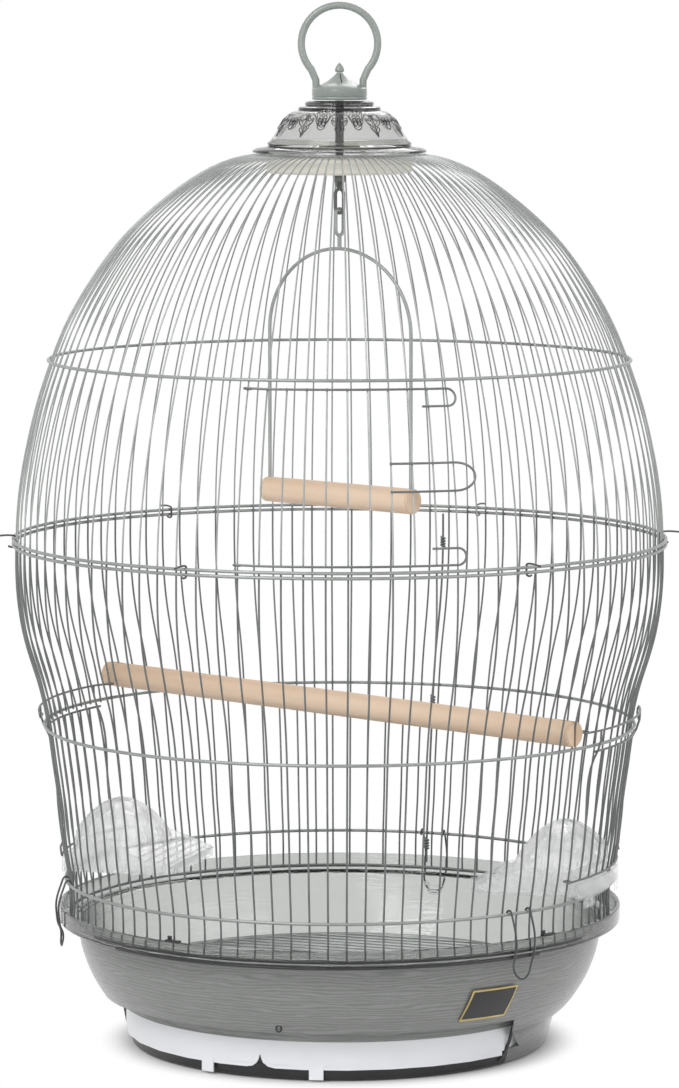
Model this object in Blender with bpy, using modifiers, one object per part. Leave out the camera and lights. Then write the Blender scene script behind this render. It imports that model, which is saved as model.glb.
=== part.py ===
"""Round wire bird cage on a smoky plastic base, modelled at rest.

Metres, +Z up. The origin is on the cage's axis at the plane that the foot stands on, and the
front door faces -Y. An azimuth is in degrees from -Y, growing towards +X.
"""

from math import asin, atan2, cos, degrees, pi, radians, sin

import bmesh
import bpy
import numpy as np
from mathutils import Matrix, Vector

# Wires and fits
WIRE_R = 0.00066            # upright wires, sized over their corners
HOOP_R = 0.00105            # horizontal hoops
RAIL_R = 0.00076            # door rails and bars
CLIP_R = 0.0007             # spring clips
BAR_R = 0.0013              # rings that carry the wires' ends, over their corners
GAP = 0.0003                # between touching pieces
WIRE_COUNT = 96
HOOP_STEPS = 48
BASE_STEPS = 36
GRILLE_STEPS = 32

# Cage heights and the radius of its upright wires there
CROWN_Z, CROWN_RADIUS = 0.5440, 0.0492
BROW_Z, BROW_RADIUS = 0.5388, 0.0738
DOME_Z, DOME_RADIUS = 0.5164, 0.1073
TEMPLE_Z, TEMPLE_RADIUS = 0.4795, 0.1435
UPPER_HOOP_Z, UPPER_HOOP_RADIUS = 0.4197, 0.1752
CHEST_Z, CHEST_RADIUS = 0.3688, 0.1901
BELLY_Z, BELLY_RADIUS = 0.3093, 0.1972
HIP_Z, HIP_RADIUS = 0.2704, 0.1956
PERCH_HOOP_Z, PERCH_HOOP_RADIUS = 0.1967, 0.1787
LOWER_HOOP_Z, LOWER_HOOP_INSET = 0.1016, 0.0062     # inset inside the base's lip
BELLY_HOOP_SPACING = 0.0030

# Front door
DOOR_BARS = 9
DOOR_TOP_RAIL_DROP = 0.0051      # below the upper hoop
DOOR_BOTTOM_RAIL_RISE = 0.0044   # above the upper belly hoop
HOOK_HEIGHT = 0.0098
HOOK_REACH = 0.0050
HOOK_RETURN = 0.0165
HANDLE_Z, HANDLE_HEIGHT = 0.3646, 0.0168
HANDLE_REACH = 0.0125            # past the closing wire

# Feeder doors and cups
FEEDER_AZIMUTHS = {"right": 71.25, "left": -108.75}
FEEDER_TOP_RAIL_RISE = 0.0090    # above the perch hoop
FEEDER_HEAD_RAIL_DROP = 0.0040   # below the perch hoop
FEEDER_BOTTOM_RAIL_Z = 0.1145
CUP_WIDTH, CUP_DEPTH, CUP_HEIGHT = 0.092, 0.062, 0.0200
CUP_WALL = 0.0016
HOOD_HEIGHT, HOOD_DEPTH = 0.0280, 0.0330
BAND_HEIGHT, BAND_HALF_ANGLE = 0.0090, 16.6
TAB_WIDTH, TAB_DROP, TAB_ANGLE = 0.0130, 0.0070, 11.0

# Base, with its front turned to the left of the door
BASE_AZIMUTH = -22.5
BASE_WALL = 0.0024
BOWL_TOP_RADIUS, BOWL_TOP_Z = 0.1587, 0.0605
LIP_OVERHANG, LIP_TOP_Z, LIP_BOTTOM_Z = 0.0137, 0.0864, 0.0757
LIP_RADIUS = BOWL_TOP_RADIUS + LIP_OVERHANG
SEAT_Z = 0.0784
BOWL_MIDDLE_RADIUS, BOWL_MIDDLE_Z = 0.1540, 0.0460
BOWL_LOW_RADIUS, BOWL_LOW_Z = 0.1410, 0.0262
BOWL_FOOT_RADIUS, BOWL_FOOT_Z = 0.1331, 0.0195
FOOT_TOP_RADIUS, FOOT_TOP_Z = 0.1319, 0.0172
FOOT_RADIUS, FOOT_ROUND = 0.1285, 0.0050
FOOT_RIM_WIDTH = 0.0055
FLOOR_TOP_Z = 0.0095
LINTEL_BOTTOM_Z, LEDGE_TOP_Z = 0.0245, 0.0366
LINTEL_RADIUS = 0.1334
DRAWER_HALF_WIDTH = 0.1252
DRAWER_WALL = 0.0022
DRAWER_TAB_WIDTH, DRAWER_TAB_ANGLE = 0.0085, 17.0
GRILLE_PITCH = 0.0120
BASE_CLIP_AZIMUTHS = (37.5, -82.5, 157.5)
BASE_CLIP_HALF_WIDTH = 0.0073
LOWER_HOOP_RADIUS = LIP_RADIUS - LOWER_HOOP_INSET

# Belly clips and the seam in the cage wall
BELLY_CLIP_START, BELLY_CLIPS = 31.875, 6
SEAM_AZIMUTH = 157.5

# Cap and hanger
PLATE_RADIUS, PLATE_BOTTOM_Z = 0.0443, 0.5322
PLATE_FLANGE_RADIUS, PLATE_FLANGE_Z = 0.0490, 0.5400
CAP_RADIUS, CAP_TOP_RADIUS, CAP_TOP_Z = 0.0528, 0.0209, 0.5764
CAP_WALL = 0.0018
STEM_R = 0.0026
COLLAR_RADIUS, COLLAR_TOP_Z = 0.0167, 0.5843
RING_RADIUS, RING_Z, RING_R = 0.0231, 0.6108, 0.0023
FINIAL_TIP_Z, FINIAL_BASE_Z = 0.5996, 0.5937

# Perch and swing
DOWEL_R = 0.0077
PERCH_AZIMUTH, PERCH_HALF_LENGTH = 48.75, 0.1862
KERF_WIDTH, KERF_DEPTH = 0.0022, 0.0125
SWING_TURN = -44.0               # the dowel's turn about Z from the X axis
SWING_HALF_WIDTH, SWING_TOP_Z = 0.0583, 0.4869
SWING_WIRE_R = 0.0011
SWING_DOWEL_Z, SWING_DOWEL_HALF_LENGTH = 0.3350, 0.0605
SWING_PIVOT_Z = 0.5085
EYE_R, EYE_HALF_WIDTH = 0.0011, 0.0034
HOOK_EYE_HEIGHT, SWING_EYE_HEIGHT = 0.0145, 0.0160
NUT_R, NUT_HEIGHT = 0.0041, 0.0042

STEEL_GREY = (0.33, 0.345, 0.335)
DARK_STEEL = (0.10, 0.105, 0.105)
SMOKE = (0.27, 0.29, 0.275)
GREY_GREEN = (0.36, 0.40, 0.37)

PITCH = 360 / WIRE_COUNT


# Scene and materials

def clear_scene():
    for obj in list(bpy.data.objects):
        bpy.data.objects.remove(obj, do_unlink=True)


def new_collection(name):
    collection = bpy.data.collections.new(name)
    bpy.context.scene.collection.children.link(collection)
    return collection


def material(name, color, roughness=0.4, metallic=0.0, alpha=1.0):
    made = bpy.data.materials.new(name)
    made.use_nodes = True
    shader = made.node_tree.nodes["Principled BSDF"]
    shader.inputs["Base Color"].default_value = (*color, 1)
    shader.inputs["Roughness"].default_value = roughness
    shader.inputs["Metallic"].default_value = metallic
    shader.inputs["Alpha"].default_value = alpha
    return made


clear_scene()
PARTS = new_collection("bird_cage")
CUTTERS = new_collection("cutters")
MATERIALS = {
    "wire": material("wire_coating", STEEL_GREY, 0.38, 0.5),
    "dark_wire": material("dark_wire", DARK_STEEL, 0.35, 0.6),
    "smoke": material("smoky_plastic", SMOKE, 0.12, alpha=0.6),
    "grey_green": material("grey_green_plastic", GREY_GREEN, 0.35),
    "clear": material("clear_plastic", (0.9, 0.92, 0.95), 0.08, alpha=0.25),
    "white": material("white_plastic", (0.83, 0.84, 0.87), 0.35),
    "cream": material("cream_plastic", (0.78, 0.74, 0.63), 0.45),
    "wood": material("beech", (0.76, 0.53, 0.36), 0.6),
}


# Shape helpers

def polar(radius, azimuth, height):
    angle = radians(azimuth)
    return Vector((radius * sin(angle), -radius * cos(angle), height))


def outward(azimuth):
    return polar(1, azimuth, 0)


def sideways(azimuth):
    """The level direction of growing azimuth."""
    return outward(azimuth + 90)


def add_object(name, data, kind, collection=PARTS):
    obj = bpy.data.objects.new(name, data)
    collection.objects.link(obj)
    obj.data.materials.clear()
    obj.data.materials.append(MATERIALS[kind])
    return obj


def as_helper(obj):
    """Moves an object to the cutters, which are no part of the cage."""
    for collection in list(obj.users_collection):
        collection.objects.unlink(obj)
    CUTTERS.objects.link(obj)
    obj.hide_render = True
    obj.display_type = "WIRE"
    return obj


def settled(obj):
    """Replaces an object by a mesh with its modifiers applied and its loose caps welded."""
    bpy.context.view_layer.update()
    evaluated = obj.evaluated_get(bpy.context.evaluated_depsgraph_get())
    mesh = bpy.data.meshes.new_from_object(evaluated)
    body = bmesh.new()
    body.from_mesh(mesh)
    bmesh.ops.remove_doubles(body, verts=body.verts, dist=1e-6)
    bmesh.ops.recalc_face_normals(body, faces=body.faces)
    body.to_mesh(mesh)
    body.free()
    name, kind, matrix = obj.name, obj.data.materials[0], obj.matrix_world.copy()
    collection = obj.users_collection[0]
    bpy.data.objects.remove(obj, do_unlink=True)
    made = bpy.data.objects.new(name, mesh)
    made.matrix_world = matrix
    mesh.materials.clear()
    mesh.materials.append(kind)
    collection.objects.link(made)
    return made


def boolean(obj, other, operation):
    modifier = obj.modifiers.new(operation.lower(), "BOOLEAN")
    modifier.operation = operation
    modifier.object = as_helper(other)
    return modifier


def joined(obj, *others):
    """One body from overlapping meshes."""
    for other in others:
        boolean(obj, other, "UNION")
    made = settled(obj)
    for other in others:
        bpy.data.objects.remove(other, do_unlink=True)
    return made


def trimmed(obj, *cutters):
    """The object without the cutters' space."""
    for cutter in cutters:
        boolean(obj, cutter, "DIFFERENCE")
    made = settled(obj)
    for cutter in cutters:
        bpy.data.objects.remove(cutter, do_unlink=True)
    return made


def common(obj, other):
    """The part of an object that lies inside another."""
    boolean(obj, other, "INTERSECT")
    made = settled(obj)
    bpy.data.objects.remove(other, do_unlink=True)
    return made


def tube(name, paths, radius, kind, sides=4, closed=False, tilt=0):
    """Wires along lists of points, as one curve object with filled caps."""
    curve = bpy.data.curves.new(name, "CURVE")
    curve.dimensions = "3D"
    curve.use_fill_caps = True
    for points in paths:
        spline = curve.splines.new("POLY")
        spline.points.add(len(points) - 1)
        for spot, point in zip(spline.points, points):
            spot.co = (*point, 1)
            spot.tilt = radians(tilt)
        spline.use_cyclic_u = closed
    if sides == 3:
        curve.bevel_mode = "OBJECT"
        curve.bevel_object = triangle(radius)
    else:
        curve.bevel_depth = radius
        curve.bevel_resolution = (sides - 4) // 2
    return add_object(name, curve, kind)


def triangle(radius):
    """The cross-section of the upright wires, three corners on the wire's radius."""
    name = f"section_{radius * 1e5:.0f}"
    if name in bpy.data.objects:
        return bpy.data.objects[name]
    curve = bpy.data.curves.new(name, "CURVE")
    spline = curve.splines.new("POLY")
    spline.points.add(2)
    for spot, angle in zip(spline.points, (90, 210, 330)):
        spot.co = (radius * cos(radians(angle)), radius * sin(radians(angle)), 0, 1)
    spline.use_cyclic_u = True
    return as_helper(add_object(name, curve, "wire"))


def wire(name, paths, radius, kind="wire", sides=4, closed=False, tilt=0):
    return settled(tube(name, paths, radius, kind, sides, closed, tilt))


def hoop(name, radius, height, wire_radius=HOOP_R, steps=HOOP_STEPS, kind="wire"):
    """A round hoop whose flats, not its corners, lie on the radius."""
    bpy.ops.mesh.primitive_torus_add(
        major_segments=steps,
        minor_segments=4,
        major_radius=radius / cos(pi / steps),
        minor_radius=wire_radius,
        location=(0, 0, height),
    )
    obj = bpy.context.object
    obj.name = name
    obj.rotation_euler.z = pi / steps
    for collection in list(obj.users_collection):
        collection.objects.unlink(obj)
    PARTS.objects.link(obj)
    obj.data.materials.append(MATERIALS[kind])
    return obj


def turned(name, profile, kind, steps=24, collection=PARTS):
    """A solid of revolution from a profile of (radius, height) down its outer side."""
    mesh = bpy.data.meshes.new(name)
    points = [(r, 0, z) for r, z in profile]
    closed = profile[0][0] > 0 or profile[-1][0] > 0
    edges = [(i, i + 1) for i in range(len(points) - 1)]
    if closed:
        edges.append((len(points) - 1, 0))
    mesh.from_pydata(points, edges, [])
    obj = add_object(name, mesh, kind, collection)
    screw = obj.modifiers.new("turn", "SCREW")
    screw.axis = "Z"
    screw.steps = screw.render_steps = steps
    screw.use_merge_vertices = True
    screw.merge_threshold = 1e-6
    return settled(obj)


def smooth(obj, angle=35):
    obj.data.shade_smooth()
    obj.data.set_sharp_from_angle(angle=radians(angle))
    return obj


def box(name, low, high, azimuth=0, kind="wire"):
    """A box in the frame that points along an azimuth: x outwards, y sideways."""
    mesh = bpy.data.meshes.new(name)
    body = bmesh.new()
    bmesh.ops.create_cube(body, size=1)
    centre = [(a + b) / 2 for a, b in zip(low, high)]
    size = [b - a for a, b in zip(low, high)]
    bmesh.ops.scale(body, vec=size, verts=body.verts)
    bmesh.ops.translate(body, vec=centre, verts=body.verts)
    body.to_mesh(mesh)
    body.free()
    obj = add_object(name, mesh, kind)
    obj.rotation_euler.z = radians(azimuth - 90)
    return obj


def prism(name, plan, low, high, azimuth, kind):
    """A flat outline of (outward, sideways) points between two heights, pointing along an azimuth."""
    mesh = bpy.data.meshes.new(name)
    body = bmesh.new()
    face = body.faces.new([body.verts.new((x, y, low)) for x, y in plan])
    lifted = bmesh.ops.extrude_face_region(body, geom=[face])
    upper = [v for v in lifted["geom"] if isinstance(v, bmesh.types.BMVert)]
    bmesh.ops.translate(body, vec=(0, 0, high - low), verts=upper)
    bmesh.ops.recalc_face_normals(body, faces=body.faces)
    body.to_mesh(mesh)
    body.free()
    obj = add_object(name, mesh, kind)
    obj.rotation_euler.z = radians(azimuth - 90)
    return obj


def rod(name, radius, start, end, kind, sides=16):
    """A solid cylinder between two points."""
    start, end = Vector(start), Vector(end)
    mesh = bpy.data.meshes.new(name)
    body = bmesh.new()
    bmesh.ops.create_cone(
        body, cap_ends=True, segments=sides, radius1=radius, radius2=radius, depth=(end - start).length
    )
    body.to_mesh(mesh)
    body.free()
    obj = add_object(name, mesh, kind)
    turn = (end - start).to_track_quat("Z", "Y")
    obj.matrix_world = Matrix.Translation((start + end) / 2) @ turn.to_matrix().to_4x4()
    return obj


def put_origin(obj, point):
    """Moves an object's origin, and not its shape."""
    world = obj.matrix_world.copy()
    obj.data.transform(Matrix.Translation(-Vector(point)) @ world)
    obj.matrix_world = Matrix.Translation(point)
    return obj


# The cage's outline

def outline():
    """Radius and height of the upright wires, from the crown down into the base's seat."""
    return [
        (CROWN_RADIUS, CROWN_Z),
        (BROW_RADIUS, BROW_Z),
        (DOME_RADIUS, DOME_Z),
        (TEMPLE_RADIUS, TEMPLE_Z),
        (UPPER_HOOP_RADIUS, UPPER_HOOP_Z),
        (CHEST_RADIUS, CHEST_Z),
        (BELLY_RADIUS, BELLY_Z),
        (HIP_RADIUS, HIP_Z),
        (PERCH_HOOP_RADIUS, PERCH_HOOP_Z),
        (LOWER_HOOP_RADIUS, LOWER_HOOP_Z),
    ]


def wall_radius(height):
    """Radius of the upright wires at a height, on the straight runs between the outline's points."""
    points = sorted((z, r) for r, z in outline())
    heights, radii = zip(*points)
    return float(np.interp(height, heights, radii))


def wall_run(top, bottom):
    """Outline points from a top height to a bottom height, both included."""
    inner = [(r, z) for r, z in outline() if bottom + 1e-4 < z < top - 1e-4]
    return [(wall_radius(top), top), *inner, (wall_radius(bottom), bottom)]


def beside(slots):
    """Azimuth of an upright wire, counted in pitches from the one in the middle of the front door."""
    return slots * PITCH


def hoop_radius(height, wire_radius=HOOP_R):
    """Centre radius of a hoop that lies on the outside of the upright wires."""
    return wall_radius(height) + WIRE_R + GAP + wire_radius


def hoop_at(height, azimuth):
    """Centre radius of a hoop's flats at an azimuth: they face the multiples of one step."""
    step = 360 / HOOP_STEPS
    turn = (azimuth + step / 2) % step - step / 2
    return hoop_radius(height) / cos(radians(turn))


UPPER_BELLY_HOOP_Z = BELLY_Z + BELLY_HOOP_SPACING / 2
LOWER_BELLY_HOOP_Z = BELLY_Z - BELLY_HOOP_SPACING / 2
BAR_HALF = BAR_R * cos(pi / 4)
COVE_RADIUS = BOWL_TOP_RADIUS + 0.47 * (LIP_RADIUS - BOWL_TOP_RADIUS)
COVE_Z = BOWL_TOP_Z + 0.45 * (LIP_BOTTOM_Z - BOWL_TOP_Z)
SEAT_RING_Z = SEAT_Z + GAP + BAR_HALF
DOOR_HALF = (DOOR_BARS + 1) // 2


def comb(name, slots, run, bar_radius, bar_z):
    """Neighbouring upright wires on the piece of ring that carries their ends."""
    wires = wire(
        name,
        [[polar(r, beside(slot), z) for r, z in run] for slot in slots],
        WIRE_R,
        sides=3,
    )
    margin = PITCH / 2 - degrees(GAP / bar_radius)
    angles = [beside(slots[0]) - margin]
    angles += [beside(slot) for slot in slots[2:-1:3]]
    angles.append(beside(slots[-1]) + margin)
    bar = wire("bar", [[polar(bar_radius, a, bar_z) for a in angles]], BAR_R, tilt=45)
    return joined(wires, bar)


def comb_slots(first, last, count):
    """Splits the wires from one slot to another into even groups."""
    every = list(range(first, last + 1))
    return [list(group) for group in np.array_split(every, count)]


def upper_wires():
    bottom = BELLY_Z + GAP / 2 + 0.0002
    run = wall_run(CROWN_Z, bottom)
    groups = comb_slots(DOOR_HALF, WIRE_COUNT - DOOR_HALF, 8)
    for number, slots in enumerate(groups, 1):
        slots = [int(slot) for slot in slots]
        comb(f"upper_wires_{number}", slots, run, CROWN_RADIUS, CROWN_Z)
    above_door = list(range(1 - DOOR_HALF, DOOR_HALF))
    run = wall_run(CROWN_Z, UPPER_HOOP_Z - HOOP_R / 2)
    comb("upper_wires_over_door", above_door, run, CROWN_RADIUS, CROWN_Z)


def feeder_slots(side):
    middle = round(FEEDER_AZIMUTHS[side] / PITCH)
    return list(range(middle - DOOR_HALF + 1, middle + DOOR_HALF))


def lower_wires():
    top = BELLY_Z - GAP / 2 - 0.0002
    run = [*wall_run(top, LOWER_HOOP_Z), (LOWER_HOOP_RADIUS, SEAT_RING_Z)]
    right, left = feeder_slots("right"), feeder_slots("left")
    spans = {"front": (left[-1] + 1, right[0] - 1), "back": (right[-1] + 1, left[0] - 1 + WIRE_COUNT)}
    for name, (first, last) in spans.items():
        for number, slots in enumerate(comb_slots(first, last, 4), 1):
            slots = [int(slot) for slot in slots]
            comb(f"lower_wires_{name}_{number}", slots, run, LOWER_HOOP_RADIUS, SEAT_RING_Z)
    run = [(LOWER_HOOP_RADIUS, LOWER_HOOP_Z + HOOP_R), (LOWER_HOOP_RADIUS, SEAT_RING_Z)]
    for side in FEEDER_AZIMUTHS:
        comb(f"sill_wires_{side}", feeder_slots(side), run, LOWER_HOOP_RADIUS, SEAT_RING_Z)


def hoops():
    hoop("upper_hoop", hoop_radius(UPPER_HOOP_Z), UPPER_HOOP_Z)
    hoop("belly_hoop_upper", hoop_radius(BELLY_Z), UPPER_BELLY_HOOP_Z)
    hoop("belly_hoop_lower", hoop_radius(BELLY_Z), LOWER_BELLY_HOOP_Z)
    hoop("lower_hoop", hoop_radius(LOWER_HOOP_Z), LOWER_HOOP_Z)
    perch_hoop()


def perch_hoop():
    """The hoop that the perch rests on, with the short wires over the feeder openings curled onto it."""
    radius = hoop_radius(PERCH_HOOP_Z)
    ring = hoop("perch_hoop", radius, PERCH_HOOP_Z)
    top = BELLY_Z - GAP / 2 - 0.0002
    run = wall_run(top, PERCH_HOOP_Z + 0.004)
    run.append((radius - HOOP_R / 2, PERCH_HOOP_Z))
    slots = [slot for side in FEEDER_AZIMUTHS for slot in feeder_slots(side)]
    paths = [[polar(r, beside(slot), z) for r, z in run] for slot in slots]
    joined(ring, wire("short_wires", paths, WIRE_R, sides=3))


# Doors

def arc_points(radius, first, last, height, step=5.0):
    count = max(2, round(abs(last - first) / step) + 1)
    return [polar(radius, a, height) for a in np.linspace(first, last, count)]


def hinge_eye(height, azimuth, axis, inner=WIRE_R + 0.0007, turn=290, steps=7):
    """Points of a curl round the hinge wire, from its outer side inwards on the far side."""
    centre = polar(wall_radius(height), azimuth, height)
    side = -sideways(azimuth)
    side = (side - axis * side.dot(axis)).normalized()
    out = side.cross(axis).normalized()
    if out.dot(outward(azimuth)) < 0:
        out = -out
    radius = inner + RAIL_R
    points = []
    for angle in np.linspace(0, radians(turn), steps):
        points.append(centre + out * radius * cos(angle) + side * radius * sin(angle))
    return points


def u_hook(height, end, radius, rise):
    """The end of a rail past the closing wire, bent round and back."""
    reach = degrees(HOOK_REACH / radius)
    back = degrees(HOOK_RETURN / radius)
    half = rise / 2
    points = []
    for angle in np.linspace(-90, 90, 5):
        turn = radians(angle)
        azimuth = end + reach * cos(turn)
        z = height + half + half * sin(turn)
        points.append(polar(radius + wall_radius(z) - wall_radius(height), azimuth, z))
    z = height + rise
    points.append(polar(radius + wall_radius(z) - wall_radius(height), end - back, z))
    return points


def door_axis(azimuth, top, bottom):
    """Centre and direction of the line through the two hinge eyes."""
    high = polar(wall_radius(top), azimuth, top)
    low = polar(wall_radius(bottom), azimuth, bottom)
    return (high + low) / 2, (high - low).normalized()


def rail(height, middle, axis, bar_offset, clear_offset, hook_rise):
    """A rail from its hinge eye across the bars to the hook past the closing wire."""
    half = beside(DOOR_HALF)
    wall = wall_radius(height)
    eye = hinge_eye(height, middle - half, axis)
    bars = beside(DOOR_HALF - 1) + 0.5
    points = list(reversed(eye))
    points += arc_points(wall + bar_offset, middle - bars, middle + bars, height, step=6.2)
    points += u_hook(height, middle + half + 0.7, wall + clear_offset, hook_rise)
    return points


def door_slots(middle):
    return [middle + beside(k) for k in range(1 - DOOR_HALF, DOOR_HALF)]


def front_door():
    top = UPPER_HOOP_Z - DOOR_TOP_RAIL_DROP
    bottom = UPPER_BELLY_HOOP_Z + DOOR_BOTTOM_RAIL_RISE
    pivot, axis = door_axis(-beside(DOOR_HALF), top, bottom)
    bar_offset, clear_offset = WIRE_R + RAIL_R * 0.6, WIRE_R + GAP + RAIL_R + 0.0001
    run = wall_run(top + RAIL_R, bottom - RAIL_R / 2)
    bars = wire("front_door", [[polar(r, a, z) for r, z in run] for a in door_slots(0)], RAIL_R, sides=3)
    upper = wire("rail", [rail(top, 0, axis, bar_offset, clear_offset, -HOOK_HEIGHT)], RAIL_R, sides=3)
    lower = wire("rail", [rail(bottom, 0, axis, bar_offset, clear_offset, HOOK_HEIGHT)], RAIL_R, sides=3)
    put_origin(joined(bars, upper, lower), pivot)
    return pivot, axis


def door_handle():
    """The D of wire that lies over the bars and past the closing wire, as pull and stop."""
    start = beside(2) - 0.3
    paths = []
    half = HANDLE_HEIGHT / 2
    end = beside(DOOR_HALF)
    for angle in np.linspace(90, -90, 7):
        turn = radians(angle)
        z = HANDLE_Z + half * sin(turn)
        radius = wall_radius(z) + 1.6 * GAP + 2 * RAIL_R
        paths.append(polar(radius, end + degrees(HANDLE_REACH / radius) * cos(turn), z))
    legs = []
    for z in (HANDLE_Z + half, HANDLE_Z - half):
        radius = wall_radius(z) + 1.6 * GAP + 2 * RAIL_R
        legs.append(arc_points(radius, start, end - 2, z, step=4))
    points = legs[0] + paths + list(reversed(legs[1]))
    wire("door_handle", [points], RAIL_R, sides=3)


def feeder_door(side):
    middle = FEEDER_AZIMUTHS[side]
    top = PERCH_HOOP_Z + FEEDER_TOP_RAIL_RISE
    head = PERCH_HOOP_Z - FEEDER_HEAD_RAIL_DROP
    bottom = FEEDER_BOTTOM_RAIL_Z
    pivot, axis = door_axis(middle - beside(DOOR_HALF), top, bottom)
    bar_offset = 2 * WIRE_R + GAP
    rail_offset = bar_offset + RAIL_R
    past_hoop = WIRE_R + 2 * GAP + 2 * HOOP_R + RAIL_R
    run = [(wall_radius(z) + bar_offset, z) for z in (head + RAIL_R / 2, bottom - RAIL_R / 2)]
    bars = wire(
        f"feeder_door_{side}", [[polar(r, a, z) for r, z in run] for a in door_slots(middle)[1:-1]], RAIL_R,
        sides=3,
    )
    posts = [
        (wall_radius(top) + past_hoop, top),
        (wall_radius(PERCH_HOOP_Z) + past_hoop + 0.0003, PERCH_HOOP_Z - HOOP_R),
        (wall_radius(head) + bar_offset + RAIL_R, head - 0.002),
        (wall_radius(bottom) + bar_offset, bottom),
    ]
    ends = (door_slots(middle)[0], door_slots(middle)[-1])
    sides = wire("posts", [[polar(r, a, z) for r, z in posts] for a in ends], RAIL_R, sides=3)
    upper = wire("rail", [rail(top, middle, axis, past_hoop, past_hoop, -0.0055)], RAIL_R, sides=3)
    lower = wire("rail", [rail(bottom, middle, axis, rail_offset, rail_offset, 0.0055)], RAIL_R, sides=3)
    across = arc_points(wall_radius(head) + rail_offset, ends[0] - 0.6, ends[1] + 0.6, head, step=6)
    header = wire("rail", [across], RAIL_R, sides=3)
    put_origin(joined(bars, sides, upper, lower, header), pivot)
    return pivot, axis


# Feeder cups

def cup_floor():
    return LOWER_HOOP_Z + HOOP_R + GAP


def cup_back():
    """Radius of the cup's back, which stays inside the wall from the cup's floor to its hood."""
    top = cup_floor() + CUP_HEIGHT + HOOD_HEIGHT
    return min(LOWER_HOOP_RADIUS, wall_radius(top))


def cup_block(name, side, grow, low, high):
    """The cup's plan as a block: its back follows the cage wall and its front corners are round."""
    half = CUP_WIDTH / 2 + grow
    back = cup_back() + grow
    front = cup_back() - CUP_DEPTH - grow
    corner = CUP_DEPTH * 0.45
    edge = asin(half / back)
    plan = [(back * cos(a), back * sin(a)) for a in np.linspace(-edge, edge, 7)]
    rounded = []
    for angle in np.linspace(0, 90, 4):
        turn = radians(angle)
        rounded.append((front + corner * (1 - sin(turn)), half - corner + corner * cos(turn)))
    plan += rounded + [(r, -t) for r, t in reversed(rounded)]
    return prism(name, plan, low, high, FEEDER_AZIMUTHS[side], "clear")


def cup_hood(name, side, grow, low, high):
    """Half a dome over the back of the cup, inside the cup's plan."""
    mesh = bpy.data.meshes.new(name)
    body = bmesh.new()
    bmesh.ops.create_uvsphere(body, u_segments=12, v_segments=8, radius=1)
    size = (HOOD_DEPTH + grow, CUP_WIDTH / 2 + grow, HOOD_HEIGHT + grow)
    bmesh.ops.scale(body, vec=size, verts=body.verts)
    bmesh.ops.translate(body, vec=(cup_back() - HOOD_DEPTH / 2, 0, cup_floor() + CUP_HEIGHT), verts=body.verts)
    body.to_mesh(mesh)
    body.free()
    hood = add_object(name, mesh, "clear")
    hood.rotation_euler.z = radians(FEEDER_AZIMUTHS[side] - 90)
    return common(hood, cup_block("keep", side, grow, low, high))


def feeder_cup(side):
    """A clear tray inside the feeder opening, with a hood over its back and a band outside."""
    floor = cup_floor()
    rim, top = floor + CUP_HEIGHT, floor + CUP_HEIGHT + HOOD_HEIGHT + 0.01
    cup = cup_block(f"feeder_cup_{side}", side, 0, floor, rim)
    cup = joined(cup, cup_hood("hood", side, 0, rim - 0.001, top))
    hollow = cup_block("hollow", side, -CUP_WALL, floor + CUP_WALL, rim + 0.01)
    inside = cup_hood("inside", side, -CUP_WALL, rim - 0.002, top)
    edge = cup_back() - HOOD_DEPTH * 0.85
    mouth = box("mouth", (edge - CUP_DEPTH, -CUP_WIDTH, rim + 0.0005), (edge, CUP_WIDTH, top),
                FEEDER_AZIMUTHS[side])
    cup = trimmed(cup, hollow, inside, mouth)
    cup_band(cup, side)


def cup_band(cup, side):
    """The strip that closes the opening from outside, with two tabs over the lower hoop."""
    azimuth = FEEDER_AZIMUTHS[side]
    floor = cup_floor()
    inner = hoop_radius(LOWER_HOOP_Z) / cos(pi / HOOP_STEPS) + HOOP_R + GAP
    outer = inner + CUP_WALL
    root = cup_back() - CUP_WALL / 3
    band = turned(
        "band",
        [(outer, floor + BAND_HEIGHT), (outer, floor), (root, floor), (root, floor + CUP_WALL),
         (inner, floor + CUP_WALL), (inner, floor + BAND_HEIGHT)],
        "clear",
        steps=60,
    )
    half = outer * sin(radians(BAND_HALF_ANGLE))
    band = common(band, box("wedge", (0, -half, floor - 0.01), (outer * 1.1, half, floor + 0.03), azimuth))
    tabs = []
    for turn in (-TAB_ANGLE, TAB_ANGLE):
        tabs.append(box("tab", (inner, -TAB_WIDTH / 2, floor - TAB_DROP),
                        (outer - 0.0001, TAB_WIDTH / 2, floor + CUP_WALL), azimuth + turn))
    joined(cup, band, *tabs)


# Base

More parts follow.
